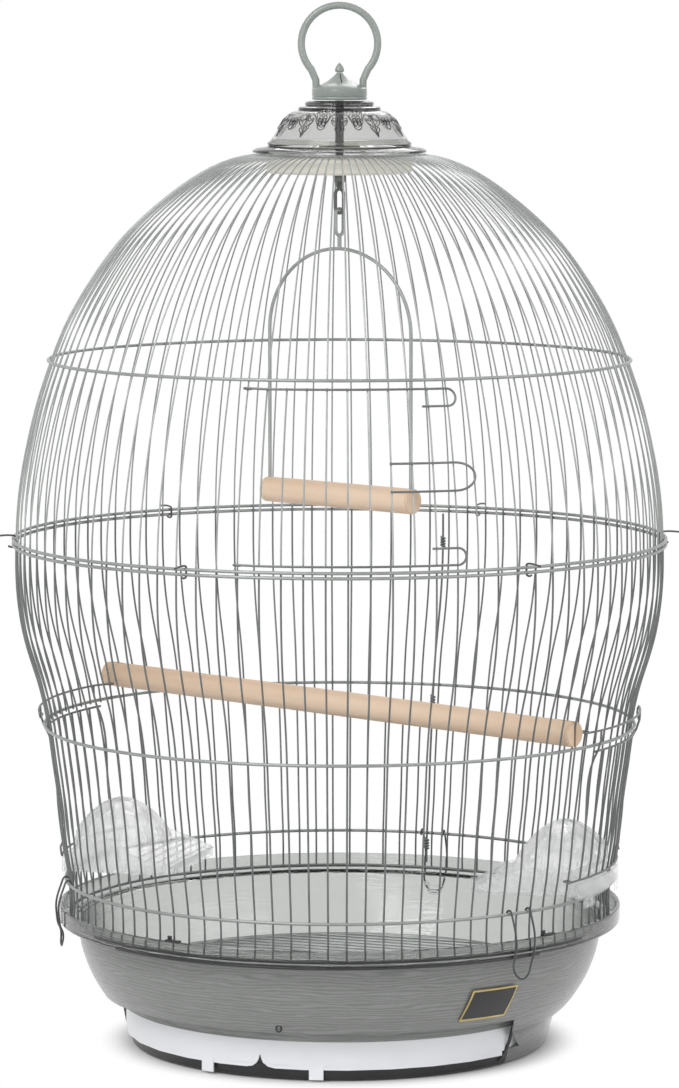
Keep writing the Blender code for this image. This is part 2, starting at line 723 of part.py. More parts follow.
def base_profile():
    """The base's section, from its floor out to the lip and down the outside to the foot."""
    wall = BASE_WALL
    return [
        (0, FLOOR_TOP_Z),
        (FOOT_RADIUS - wall + 0.0009, FLOOR_TOP_Z),
        (FOOT_TOP_RADIUS - wall, FOOT_TOP_Z + 0.001),
        (BOWL_LOW_RADIUS - wall, BOWL_LOW_Z + wall / 2),
        (BOWL_MIDDLE_RADIUS - wall, BOWL_MIDDLE_Z),
        (BOWL_TOP_RADIUS - wall, BOWL_TOP_Z),
        (BOWL_TOP_RADIUS - wall + 0.0040, SEAT_Z),
        (LIP_RADIUS - wall, SEAT_Z),
        (LIP_RADIUS - wall, LIP_TOP_Z - 0.0008),
        (LIP_RADIUS - wall / 2, LIP_TOP_Z),
        (LIP_RADIUS, LIP_TOP_Z - 0.0008),
        (LIP_RADIUS, LIP_BOTTOM_Z),
        (LIP_RADIUS - 0.0012, LIP_BOTTOM_Z - 0.0004),
        (COVE_RADIUS, COVE_Z),
        (BOWL_TOP_RADIUS, BOWL_TOP_Z),
        (BOWL_MIDDLE_RADIUS, BOWL_MIDDLE_Z),
        (BOWL_LOW_RADIUS, BOWL_LOW_Z),
        (BOWL_FOOT_RADIUS, BOWL_FOOT_Z),
        (FOOT_TOP_RADIUS, FOOT_TOP_Z),
        (FOOT_RADIUS, FOOT_ROUND),
        (FOOT_RADIUS - FOOT_ROUND * 0.6, 0),
        (FOOT_RADIUS - FOOT_ROUND * 0.6 - FOOT_RIM_WIDTH, 0),
        (FOOT_RADIUS - FOOT_ROUND * 0.6 - FOOT_RIM_WIDTH - 0.001, FLOOR_TOP_Z - BASE_WALL),
        (0, FLOOR_TOP_Z - BASE_WALL),
    ]


def base():
    """The smoky bowl, turned whole, cut for the drawer and given the lintel over it."""
    bowl = turned("base_bowl", base_profile(), "smoke", steps=BASE_STEPS)
    half = DRAWER_HALF_WIDTH + 0.0016
    top = LEDGE_TOP_Z - BASE_WALL / 2
    slot = box("slot", (-0.02, -half, FLOOR_TOP_Z + 0.0001), (LIP_RADIUS, half, top), BASE_AZIMUTH)
    core = rod("core", FOOT_TOP_RADIUS - BASE_WALL - 0.0055, (0, 0, 0), (0, 0, top + 0.01), "smoke", BASE_STEPS)
    bowl = trimmed(bowl, trimmed(slot, core))
    inner = LINTEL_RADIUS - BASE_WALL
    reach = BOWL_MIDDLE_RADIUS - 0.0052
    band = turned(
        "band",
        [(reach, LEDGE_TOP_Z), (reach - 0.0006, LEDGE_TOP_Z - BASE_WALL),
         (LINTEL_RADIUS, LEDGE_TOP_Z - BASE_WALL), (LINTEL_RADIUS, LINTEL_BOTTOM_Z),
         (inner, LINTEL_BOTTOM_Z), (inner, LEDGE_TOP_Z)],
        "smoke",
        steps=BASE_STEPS,
    )
    front = box("front", (0, -half - 0.003, 0), (LIP_RADIUS, half + 0.003, top + 0.01), BASE_AZIMUTH)
    smooth(joined(bowl, common(band, front)))


def drawer_plan(shrink):
    """The drawer seen from above: its front follows the foot and its back is half round."""
    half, front = DRAWER_HALF_WIDTH - shrink, LINTEL_RADIUS - 0.0019 - shrink
    turn = degrees(asin(half / front))
    plan = [(front * cos(radians(a)), front * sin(radians(a))) for a in np.linspace(-turn, turn, 13)]
    return plan + [(half * cos(radians(a)), half * sin(radians(a))) for a in np.linspace(90, 270, 15)]


def drawer():
    """The white tray, with two feet that hang over the rim."""
    bottom, top = FLOOR_TOP_Z + GAP + 0.0001, LINTEL_BOTTOM_Z - GAP
    tray = prism("drawer", drawer_plan(0), bottom, top, BASE_AZIMUTH, "white")
    hollow = prism("hollow", drawer_plan(DRAWER_WALL), bottom + DRAWER_WALL, top + 0.01, BASE_AZIMUTH, "white")
    tray = trimmed(tray, hollow)
    front, wide = LINTEL_RADIUS - 0.0019, DRAWER_TAB_WIDTH / 2
    feet = []
    for turn in (-DRAWER_TAB_ANGLE, DRAWER_TAB_ANGLE):
        feet.append(box("tab", (front - 0.0011, -wide, 0.0012), (front - 0.0001, wide, bottom + 0.003),
                        BASE_AZIMUTH + turn, "white"))
    joined(tray, *feet)


def floor_grille():
    """Parallel wires across the drawer's way in a round frame that sits on the ledge."""
    z = LEDGE_TOP_Z + GAP + BAR_HALF
    heights, radii = (BOWL_LOW_Z + BASE_WALL / 2, BOWL_MIDDLE_Z), (BOWL_LOW_RADIUS, BOWL_MIDDLE_RADIUS)
    bowl_inside = float(np.interp(z - BAR_HALF, heights, radii)) - BASE_WALL
    radius = bowl_inside * cos(pi / BASE_STEPS) - BAR_HALF - GAP
    turns = np.linspace(0, 360, GRILLE_STEPS, endpoint=False)
    ring = wire("floor_grille", [[polar(radius, a, z) for a in turns]], BAR_R, closed=True, tilt=45)
    count = int(radius / GRILLE_PITCH)
    paths = []
    for k in range(-count, count + 1):
        along = k * GRILLE_PITCH
        half = (radius**2 - along**2) ** 0.5
        if half < 0.02:
            continue
        middle = outward(BASE_AZIMUTH) * along
        across = sideways(BASE_AZIMUTH) * half
        lift = Vector((0, 0, z))
        paths.append([middle - across + lift, middle + across + lift])
    joined(ring, wire("bars", paths, WIRE_R, sides=3))


def base_clip(number, azimuth):
    """A bail of spring wire: two hooks over the lower hoop, bent in under the lip, with a finger loop."""
    ring = hoop_radius(LOWER_HOOP_Z)
    wrap = HOOP_R + 2 * GAP + CLIP_R
    clear = CLIP_R + GAP
    side = BASE_CLIP_HALF_WIDTH
    leg = []
    for angle in (215, 150, 90, 30):
        leg.append((ring + wrap * cos(radians(angle)), LOWER_HOOP_Z + wrap * sin(radians(angle)), side))
    leg += [
        (LIP_RADIUS + clear + 0.0012, LIP_TOP_Z + 0.001, side),
        (LIP_RADIUS + clear + 0.0004, LIP_BOTTOM_Z + 0.001, side),
        (LIP_RADIUS - 0.0004, LIP_BOTTOM_Z - 0.0030, side * 0.97),
        (LIP_RADIUS - 0.0010, LIP_BOTTOM_Z - 0.0062, side * 0.9),
        (LIP_RADIUS - 0.0006, LIP_BOTTOM_Z - 0.0108, side * 0.62),
        (LIP_RADIUS - 0.0003, LIP_BOTTOM_Z - 0.0133, 0.0),
    ]
    back = [(r, z, -t) for r, z, t in reversed(leg[:-1])]
    points = []
    for r, z, t in leg + back:
        points.append(outward(azimuth) * r + sideways(azimuth) * t + Vector((0, 0, z)))
    clip = wire(f"base_clip_{number}", [points], CLIP_R, "dark_wire", sides=3)
    return put_origin(clip, polar(ring, azimuth, LOWER_HOOP_Z))


def belly_clip(number, azimuth):
    """A small hook that holds the two belly hoops together, with its ends turned out."""
    ring = hoop_at(BELLY_Z, azimuth)
    wrap = HOOP_R + 1.6 * GAP + CLIP_R
    top, low = UPPER_BELLY_HOOP_Z + wrap, LOWER_BELLY_HOOP_Z - wrap
    path = [
        (ring + 0.0118, top - 0.0006),
        (ring + 0.0030, top + 0.0002),
        (ring, top),
        (ring - wrap, UPPER_BELLY_HOOP_Z + 0.0004),
        (ring - wrap, LOWER_BELLY_HOOP_Z - 0.0004),
        (ring, low),
        (ring + 0.0034, low + 0.0002),
        (ring + 0.0075, low + 0.0012),
    ]
    wire(f"belly_clip_{number}", [[polar(r, azimuth, z) for r, z in path]], CLIP_R, "dark_wire", sides=3)


def seam_rod():
    """The rod that closes the lower wall's seam, with three crimped sleeves."""
    azimuth = SEAM_AZIMUTH + degrees(0.0034 / LOWER_HOOP_RADIUS)
    top, bottom = LOWER_BELLY_HOOP_Z - HOOP_R - GAP, SEAT_Z + 0.0045
    run = [*wall_run(top, LOWER_HOOP_Z), (LOWER_HOOP_RADIUS, bottom)]
    core = wire("seam_rod", [[polar(r, azimuth, z) for r, z in run]], WIRE_R, sides=4)
    sleeves = []
    for z in (0.2860, 0.1868, 0.1100):
        start = polar(wall_radius(z + 0.004), azimuth, z + 0.004)
        end = polar(wall_radius(z - 0.004), azimuth, z - 0.004)
        sleeves.append(rod("sleeve", WIRE_R + 0.0008, start, end, "wire", 6))
    joined(core, *sleeves)


# Cap and hanger

def top_plate():
    """The cream dish that clamps the wires' ends from below, with its wider flange on top."""
    flange_top = CROWN_Z - BAR_HALF - GAP
    turned(
        "top_plate",
        [(0, flange_top), (PLATE_FLANGE_RADIUS, flange_top), (PLATE_FLANGE_RADIUS, PLATE_FLANGE_Z),
         (PLATE_RADIUS, PLATE_FLANGE_Z), (PLATE_RADIUS, PLATE_BOTTOM_Z + 0.0020),
         (PLATE_RADIUS - 0.0015, PLATE_BOTTOM_Z + 0.0008), (0.030, PLATE_BOTTOM_Z), (0, PLATE_BOTTOM_Z)],
        "cream",
    )


def cap_dome():
    """The smoky stepped dome, open below, with a hole for the stem at the top."""
    w = CAP_WALL
    brim = CROWN_Z + BAR_HALF + GAP
    hole = STEM_R + GAP
    torus = 0.0432
    step = CAP_TOP_RADIUS + 0.0040
    profile = [
        (hole, CAP_TOP_Z),
        (CAP_TOP_RADIUS - 0.0028, CAP_TOP_Z),
        (CAP_TOP_RADIUS, CAP_TOP_Z - 0.0014),
        (CAP_TOP_RADIUS, CAP_TOP_Z - 0.0030),
        (step, CAP_TOP_Z - 0.0038),
        (step, CAP_TOP_Z - 0.0058),
        (0.0296, CAP_TOP_Z - 0.0072),
        (0.0342, CAP_TOP_Z - 0.0117),
        (0.0380, CAP_TOP_Z - 0.0178),
        (0.0418, CAP_TOP_Z - 0.0242),
        (torus + 0.0006, CAP_TOP_Z - 0.0256),
        (torus, CAP_TOP_Z - 0.0278),
        (CAP_RADIUS - 0.0030, CAP_TOP_Z - 0.0284),
        (CAP_RADIUS, brim + 0.0012),
        (CAP_RADIUS, brim),
        (CAP_RADIUS - w, brim),
        (torus - w - 0.0010, CAP_TOP_Z - 0.0284),
        (0.0380 - w, CAP_TOP_Z - 0.0184),
        (0.0296 - w, CAP_TOP_Z - 0.0092),
        (CAP_TOP_RADIUS - w, CAP_TOP_Z - 0.0042 - w),
        (hole, CAP_TOP_Z - 0.0030 - w),
    ]
    smooth(turned("cap_dome", profile, "smoke"), 30)


def stem_bolt():
    flange_top = CROWN_Z - BAR_HALF - GAP
    rod("stem_bolt", STEM_R, (0, 0, flange_top + GAP), (0, 0, CAP_TOP_Z + 0.0001), "dark_wire", 10)


def hanger():
    """The grey-green collar, crown and open ring in one moulding."""
    bottom = CAP_TOP_Z + 0.0002 + GAP
    r = COLLAR_RADIUS
    collar = turned(
        "hanger",
        [(0, FINIAL_BASE_Z - 0.0006), (0.0018, FINIAL_BASE_Z - 0.0010), (0.0110, COLLAR_TOP_Z + 0.0012),
         (r - 0.0010, COLLAR_TOP_Z), (r, COLLAR_TOP_Z - 0.0010), (r, bottom), (0, bottom)],
        "grey_green",
    )
    neck_x, neck_z = r - RING_R - 0.0002, COLLAR_TOP_Z + 0.0085
    start = degrees(atan2(neck_z - RING_Z + 0.0010, neck_x))
    points = [Vector((neck_x, 0, COLLAR_TOP_Z - 0.0020)), Vector((neck_x + 0.0002, 0, COLLAR_TOP_Z + 0.0045))]
    for angle in np.linspace(start + 12, 180 - start - 12, 15):
        points.append(Vector((RING_RADIUS * cos(radians(angle)), 0, RING_Z + RING_RADIUS * sin(radians(angle)))))
    points.append(Vector((-neck_x - 0.0002, 0, COLLAR_TOP_Z + 0.0045)))
    points.append(Vector((-neck_x, 0, COLLAR_TOP_Z - 0.0020)))
    ring = wire("ring", [points], RING_R, "grey_green", sides=6)
    smooth(joined(collar, ring))


def finial():
    """The bud on the crown, on its own peg."""
    z = FINIAL_BASE_Z
    turned(
        "finial",
        [(0, FINIAL_TIP_Z), (0.0013, z + 0.0046), (0.0026, z + 0.0025), (0.0029, z + 0.0008),
         (0.0022, z - 0.0002), (0.0015, z - 0.0004), (0, z - 0.0003)],
        "grey_green",
        steps=12,
    )


# Swing and perch

def swing_direction():
    return Vector((cos(radians(SWING_TURN)), sin(radians(SWING_TURN)), 0))


def oval(centre_z, half_width, height, direction, steps=10):
    """A closed loop in the plane of Z and a direction: half circles on straight sides."""
    straight = height / 2 - half_width
    points = []
    for angle in np.linspace(0, 360, steps, endpoint=False):
        turn = radians(angle + 180 / steps)
        lift = straight if sin(turn) > 0 else -straight
        points.append(direction * half_width * cos(turn) + Vector((0, 0, centre_z + lift + half_width * sin(turn))))
    return points


def swing_hook():
    """The nut under the plate and the long eye below it that carries the swing."""
    top = PLATE_BOTTOM_Z - GAP
    nut = turned(
        "swing_hook",
        [(0, top), (NUT_R, top), (NUT_R, top - NUT_HEIGHT), (NUT_R * 0.75, top - NUT_HEIGHT - 0.0004),
         (EYE_R + 0.0003, top - NUT_HEIGHT - 0.0050), (0, top - NUT_HEIGHT - 0.0050)],
        "dark_wire",
        steps=8,
    )
    centre = SWING_PIVOT_Z + HOOK_EYE_HEIGHT / 2
    loop = wire("eye", [oval(centre, EYE_HALF_WIDTH, HOOK_EYE_HEIGHT, swing_direction())], EYE_R, "dark_wire",
                closed=True)
    reach = [Vector((0, 0, top - NUT_HEIGHT)), Vector((0, 0, SWING_PIVOT_Z + HOOK_EYE_HEIGHT - 0.0002))]
    if reach[0].z - reach[1].z > 0.0005:
        shank = wire("shank", [reach], EYE_R, "dark_wire")
        return joined(nut, loop, shank)
    return joined(nut, loop)


def swing_frame():
    """The arch of wire with its own eye, hooked through the eye above."""
    along = swing_direction()
    across = Vector((-along.y, along.x, 0))
    eye_top = SWING_PIVOT_Z + 2 * EYE_R + GAP
    eye_low = eye_top - SWING_EYE_HEIGHT
    spring = SWING_TOP_Z - 0.052
    foot = SWING_DOWEL_Z - DOWEL_R * 0.35
    points = [along * SWING_HALF_WIDTH + Vector((0, 0, foot)), along * SWING_HALF_WIDTH + Vector((0, 0, spring))]
    for angle in np.linspace(0, 180, 13)[1:-1]:
        turn = radians(angle)
        points.append(along * SWING_HALF_WIDTH * cos(turn)
                      + Vector((0, 0, spring + (SWING_TOP_Z - SWING_WIRE_R - spring) * sin(turn))))
    points += [along * -SWING_HALF_WIDTH + Vector((0, 0, spring)), along * -SWING_HALF_WIDTH + Vector((0, 0, foot))]
    arch = wire("swing_frame", [points], SWING_WIRE_R)
    top = SWING_TOP_Z - SWING_WIRE_R
    centre = (eye_top + eye_low) / 2
    loop = wire("eye", [oval(centre, EYE_HALF_WIDTH, SWING_EYE_HEIGHT, across)], EYE_R, closed=True)
    link = wire("link", [[Vector((0, 0, eye_low)), Vector((0, 0, top))]], EYE_R + 0.0002)
    return put_origin(joined(arch, loop, link), (0, 0, SWING_PIVOT_Z))


def swing_dowel():
    along = swing_direction()
    centre = Vector((0, 0, SWING_DOWEL_Z))
    half = along * SWING_DOWEL_HALF_LENGTH
    dowel = rod("swing_dowel", DOWEL_R, centre - half, centre + half, "wood", 14)
    holes = []
    foot = SWING_DOWEL_Z - DOWEL_R * 0.35 - GAP
    for side in (-1, 1):
        spot = along * SWING_HALF_WIDTH * side
        holes.append(rod("hole", SWING_WIRE_R + GAP, spot + Vector((0, 0, foot)),
                         spot + Vector((0, 0, SWING_DOWEL_Z + 0.02)), "wood", 8))
    put_origin(smooth(trimmed(dowel, *holes)), (0, 0, SWING_PIVOT_Z))


def long_perch():
    """The dowel across the cage on the perch hoop, its slotted ends over two upright wires."""
    z = PERCH_HOOP_Z + HOOP_R + GAP + DOWEL_R
    half = outward(PERCH_AZIMUTH) * PERCH_HALF_LENGTH
    lift = Vector((0, 0, z))
    perch = rod("long_perch", DOWEL_R, lift - half, lift + half, "wood", 16)
    kerfs = []
    for azimuth in (PERCH_AZIMUTH, PERCH_AZIMUTH + 180):
        kerfs.append(box("kerf", (PERCH_HALF_LENGTH - KERF_DEPTH, -KERF_WIDTH / 2, z - 0.02),
                         (PERCH_HALF_LENGTH + 0.01, KERF_WIDTH / 2, z + 0.02), azimuth))
    smooth(trimmed(perch, *kerfs))


def report(name, pivot, axis):
    print(f"{name}: pivot {[round(v, 6) for v in pivot]} axis {[round(v, 6) for v in axis]}")


def main():
    upper_wires()
    lower_wires()
    hoops()
    report("front_door", *front_door())
    door_handle()
    for side in FEEDER_AZIMUTHS:
        report(f"feeder_door_{side}", *feeder_door(side))
        feeder_cup(side)
    base()
    drawer()
    floor_grille()
    for number, azimuth in enumerate(BASE_CLIP_AZIMUTHS, 1):
        clip = base_clip(number, azimuth)
        report(clip.name, clip.location, sideways(azimuth))
    for number in range(BELLY_CLIPS):
        belly_clip(number + 1, BELLY_CLIP_START + number * 360 / BELLY_CLIPS)
    seam_rod()
    top_plate()
    cap_dome()
    stem_bolt()
    hanger()
    finial()
    swing_hook()
    swing_frame()
    swing_dowel()
    long_perch()
    report("swing", (0, 0, SWING_PIVOT_Z), swing_direction())


main()
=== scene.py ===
"""The finished look of the wire bird cage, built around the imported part.

Metres, +Z up. An azimuth is in degrees from -Y, the front door's side, growing towards +X.
"""

from math import asin, cos, degrees, hypot, pi, radians, sin

import bmesh
import bpy
import numpy as np
from mathutils import Matrix, Vector


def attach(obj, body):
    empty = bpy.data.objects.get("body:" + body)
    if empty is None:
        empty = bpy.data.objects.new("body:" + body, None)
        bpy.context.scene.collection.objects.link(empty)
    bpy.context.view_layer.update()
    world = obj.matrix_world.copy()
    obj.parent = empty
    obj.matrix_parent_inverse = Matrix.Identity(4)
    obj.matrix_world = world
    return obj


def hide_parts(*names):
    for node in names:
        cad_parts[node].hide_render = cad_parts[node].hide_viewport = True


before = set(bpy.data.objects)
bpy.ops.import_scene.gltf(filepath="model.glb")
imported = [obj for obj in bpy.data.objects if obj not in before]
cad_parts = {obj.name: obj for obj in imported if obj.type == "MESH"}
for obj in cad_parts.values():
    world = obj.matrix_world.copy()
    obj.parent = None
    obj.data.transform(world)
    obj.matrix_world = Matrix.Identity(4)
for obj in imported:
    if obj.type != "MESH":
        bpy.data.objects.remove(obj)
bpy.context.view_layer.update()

# Wire radii, and the clearance between touching pieces
WIRE_R, UPPER_WIRE_R, HOOP_R, RAIL_R, CLIP_R = 0.0006, 0.0005, 0.0010, 0.0007, 0.00062
DOOR_BAR_R, END_RING_R, SWING_WIRE_R = 0.00055, 0.0009, 0.0011
GAP = 0.0003

# The cage: wires round the wall, hoops down it, and half a door counted in wires
WIRE_COUNT = 96
PITCH = 360 / WIRE_COUNT
DOOR_HALF = 5
CROWN_Z, UPPER_HOOP_Z, BELLY_Z, PERCH_HOOP_Z, LOWER_HOOP_Z = 0.5440, 0.4197, 0.3093, 0.1967, 0.1016
CROWN_RADIUS, SEAT_RADIUS, SEAT_Z = 0.0492, 0.1655, 0.0795
BELLY_HOOP_OFFSET = 0.0015
FEEDERS = {"right": 71.25, "left": -108.75}
SEAM_AZIMUTH = 157.5

# The base and its drawer, which slides out along BASE_AZIMUTH
BASE_AZIMUTH = -22.5
BASE_CLIPS = (37.5, -82.5, SEAM_AZIMUTH)
SLOT_HALF, SLOT_TOP = 0.1268, 0.0324
SLOT_FLARE = 0.1411
DRAWER_HALF, DRAWER_FRONT = 0.1232, 0.1315
DRAWER_BOTTOM, DRAWER_TOP, DRAWER_WALL = 0.0099, 0.0242, 0.0022
LIP_RADIUS, LIP_TOP, LIP_BOTTOM = 0.1724, 0.0863, 0.0757

# Cap, swing and perch
DOME = [(0.0252, 0.5706), (0.0296, 0.5692), (0.0342, 0.5647), (0.0380, 0.5586), (0.0418, 0.5524)]
LEAF_AZIMUTH = -1.45
SWING_TURN = -44.0
SWING_PIVOT_Z = 0.5085
SWING_TOP, SWING_SPRING, SWING_FOOT, SWING_HALF = 0.4868, 0.4361, 0.3335, 0.0583
DOWEL_R = 0.0077
PERCH_AZIMUTH, PERCH_Z, PERCH_HALF, PERCH_FALL = 48.75, 0.2080, 0.1862, 0.0126

# The feeder cups: their underside, and the slope of the tray's rim as radii and heights
CUP_BOTTOM = 0.1032
CUP_RIM = (0.100, 0.128), (0.1090, 0.1178)
CUP_BAND_INNER, CUP_BAND_OUTER = 0.1694, 0.1711

# The stage: the floor's height, the ring where its pale patch turns white, and the point the lamps face
FLOOR_Z = -0.0004
PATCH_END, WHITE_START = 0.122, 0.150
LAMP_AIM = (0, 0, 0.3)

# The photo's camera: focal length and picture height in pixels, and the pitch down in radians
PHOTO_FOCAL, PHOTO_ROWS = 5063, 1088
CAMERA_DISTANCE, CAMERA_HEIGHT, CAMERA_AZIMUTH, CAMERA_PITCH = 3.0766, 0.6381, -1.45, 0.1074

# The wall's outline as (radius, height), from the crown down to the base
WALL_KNOTS = [
    (CROWN_RADIUS, CROWN_Z), (0.0600, 0.5424), (0.0823, 0.5337), (0.1073, 0.5164), (0.1334, 0.4918),
    (0.1515, 0.4672), (0.1657, 0.4426), (0.1752, UPPER_HOOP_Z), (0.1840, 0.3934), (0.1901, 0.3688),
    (0.1946, 0.3442), (0.1969, 0.3196), (0.1972, BELLY_Z), (0.1974, 0.2920), (0.1960, 0.2704),
    (0.1913, 0.2458), (0.1838, 0.2212), (0.1787, PERCH_HOOP_Z), (0.1754, 0.1720), (0.1720, 0.1474),
    (0.1696, 0.1228), (0.1662, LOWER_HOOP_Z), (SEAT_RADIUS, 0.0790),
]


# Helpers

def spline(points, count):
    """Evenly counted points on a natural cubic through the given ones."""
    p = np.array([tuple(point) for point in points], float)
    t = np.concatenate([[0], np.cumsum(np.linalg.norm(np.diff(p, axis=0), axis=1))])
    n = len(p)
    h = np.diff(t)
    system = np.eye(n)
    right = np.zeros_like(p)
    for i in range(1, n - 1):
        system[i, i - 1 : i + 2] = h[i - 1], 2 * (h[i - 1] + h[i]), h[i]
        right[i] = 6 * ((p[i + 1] - p[i]) / h[i] - (p[i] - p[i - 1]) / h[i - 1])
    bend = np.linalg.solve(system, right)
    out = []
    for s in np.linspace(0, t[-1], count):
        i = min(int(np.searchsorted(t, s, side="right")) - 1, n - 2)
        a, b = (t[i + 1] - s) / h[i], (s - t[i]) / h[i]
        cubic = ((a**3 - a) * bend[i] + (b**3 - b) * bend[i + 1]) * h[i] ** 2 / 6
        out.append(a * p[i] + b * p[i + 1] + cubic)
    return out


WALL = spline(WALL_KNOTS, 400)
WALL_HEIGHTS = [z for r, z in reversed(WALL)]
WALL_RADII = [r for r, z in reversed(WALL)]


def wall_radius(z):
    return float(np.interp(z, WALL_HEIGHTS, WALL_RADII))


def wall_run(top, bottom, count):
    inner = [(r, z) for r, z in WALL if bottom < z < top]
    step = max(1, len(inner) // count)
    return [(wall_radius(top), top), *inner[step // 2 :: step], (wall_radius(bottom), bottom)]


def polar(r, azimuth, z):
    a = radians(azimuth)
    return Vector((r * sin(a), -r * cos(a), z))


def circle(r, z, step):
    return [polar(r, a, z) for a in np.arange(0, 360, step)]


def outward(azimuth):
    return polar(1, azimuth, 0)


def sideways(azimuth):
    return outward(azimuth + 90)


def place(obj, kind, body="cage", nodes=()):
    """Gives a piece its material, the body it rides on and the CAD nodes it stands for."""
    obj.data.materials.clear()
    obj.data.materials.append(MATERIALS[kind])
    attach(obj, body)
    if nodes:
        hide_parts(*nodes)
    return obj


def link(name, data):
    obj = bpy.data.objects.new(name, data)
    bpy.context.scene.collection.objects.link(obj)
    return obj


def tubes(name, paths, radius, sides=8, closed=False):
    """Round wires along lists of points."""
    curve = bpy.data.curves.new(name, "CURVE")
    curve.dimensions = "3D"
    curve.use_fill_caps = True
    curve.bevel_depth = radius
    curve.bevel_resolution = (sides - 4) // 2
    for points in paths:
        line = curve.splines.new("POLY")
        line.points.add(len(points) - 1)
        for spot, point in zip(line.points, points):
            spot.co = (*point, 1)
        line.use_cyclic_u = closed
    return meshed(link(name, curve))


def meshed(obj):
    """The object as a plain mesh, with its modifiers applied."""
    bpy.context.view_layer.update()
    evaluated = obj.evaluated_get(bpy.context.evaluated_depsgraph_get())
    mesh = bpy.data.meshes.new_from_object(evaluated)
    matrix, name = obj.matrix_world.copy(), obj.name
    bpy.data.objects.remove(obj, do_unlink=True)
    mesh.transform(matrix)
    body = bmesh.new()
    body.from_mesh(mesh)
    bmesh.ops.remove_doubles(body, verts=body.verts, dist=1e-7)
    bmesh.ops.recalc_face_normals(body, faces=body.faces)
    body.to_mesh(mesh)
    body.free()
    return link(name, mesh)


def smooth(obj, angle=40):
    obj.data.shade_smooth()
    obj.data.set_sharp_from_angle(angle=radians(angle))
    return obj


def turned(name, profile, steps=144):
    """A solid of revolution from its outline in (radius, height)."""
    mesh = bpy.data.meshes.new(name)
    edges = [(i, i + 1) for i in range(len(profile) - 1)]
    if profile[0][0] > 0 or profile[-1][0] > 0:
        edges.append((len(profile) - 1, 0))
    mesh.from_pydata([(r, 0, z) for r, z in profile], edges, [])
    obj = link(name, mesh)
    screw = obj.modifiers.new("turn", "SCREW")
    screw.axis = "Z"
    screw.steps = screw.render_steps = steps
    screw.use_merge_vertices = True
    screw.merge_threshold = 1e-6
    return meshed(obj)


def rounded(profile, radius=0.0006, steps=3):
    """A profile from axis to axis with its corners rounded off."""
    points = [Vector(point) for point in profile]
    out = [tuple(points[0])]
    for previous, p, following in zip(points, points[1:], points[2:]):
        a, b = previous - p, following - p
        cut = min(radius, a.length * 0.45, b.length * 0.45)
        start, end = p + a.normalized() * cut, p + b.normalized() * cut
        for s in np.linspace(0, 1, steps):
            out.append(tuple(start * (1 - s) ** 2 + p * 2 * s * (1 - s) + end * s**2))
    return out + [tuple(points[-1])]


def box(name, low, high, azimuth=0, bevel=0.0):
    mesh = bpy.data.meshes.new(name)
    body = bmesh.new()
    bmesh.ops.create_cube(body, size=1)
    bmesh.ops.scale(body, vec=[b - a for a, b in zip(low, high)], verts=body.verts)
    bmesh.ops.translate(body, vec=[(a + b) / 2 for a, b in zip(low, high)], verts=body.verts)
    body.to_mesh(mesh)
    body.free()
    obj = link(name, mesh)
    obj.rotation_euler.z = radians(azimuth - 90)
    if bevel:
        modifier = obj.modifiers.new("round", "BEVEL")
        modifier.width = bevel
        modifier.segments = 3
    return meshed(obj)


def extruded(name, corners, way, azimuth):
    """A flat outline pushed along a way, with its own X axis turned to the azimuth."""
    mesh = bpy.data.meshes.new(name)
    body = bmesh.new()
    face = body.faces.new([body.verts.new(corner) for corner in corners])
    pushed = bmesh.ops.extrude_face_region(body, geom=[face])
    moved = [v for v in pushed["geom"] if isinstance(v, bmesh.types.BMVert)]
    bmesh.ops.translate(body, vec=way, verts=moved)
    bmesh.ops.recalc_face_normals(body, faces=body.faces)
    body.to_mesh(mesh)
    body.free()
    obj = link(name, mesh)
    obj.rotation_euler.z = radians(azimuth - 90)
    return meshed(obj)


def prism(name, plan, low, high, azimuth):
    return extruded(name, [(x, y, low) for x, y in plan], (0, 0, high - low), azimuth)


def drawer_plate(name, outline, near, far):
    """A plate that faces the drawer's way out, from (sideways, up) in millimetres from z 0.01."""
    corners = [(near, x / 1000, 0.0100 + z / 1000) for x, z in outline]
    return extruded(name, corners, (far - near, 0, 0), BASE_AZIMUTH)


def rod(name, radius, start, end, sides=32):
    start, end = Vector(start), Vector(end)
    mesh = bpy.data.meshes.new(name)
    body = bmesh.new()
    bmesh.ops.create_cone(
        body, cap_ends=True, segments=sides, radius1=radius, radius2=radius, depth=(end - start).length
    )
    body.to_mesh(mesh)
    body.free()
    obj = link(name, mesh)
    turn = (end - start).to_track_quat("Z", "Y").to_matrix().to_4x4()
    obj.matrix_world = Matrix.Translation((start + end) / 2) @ turn
    return obj


def combined(obj, others, operation="UNION"):
    for other in others:
        modifier = obj.modifiers.new("join", "BOOLEAN")
        modifier.operation = operation
        modifier.object = other
        modifier.solver = "EXACT"
    made = meshed(obj)
    for other in others:
        bpy.data.objects.remove(other, do_unlink=True)
    return made


# Materials

def shader_of(name):
    made = bpy.data.materials.new(name)
    made.use_nodes = True
    return made, made.node_tree, made.node_tree.nodes["Principled BSDF"]


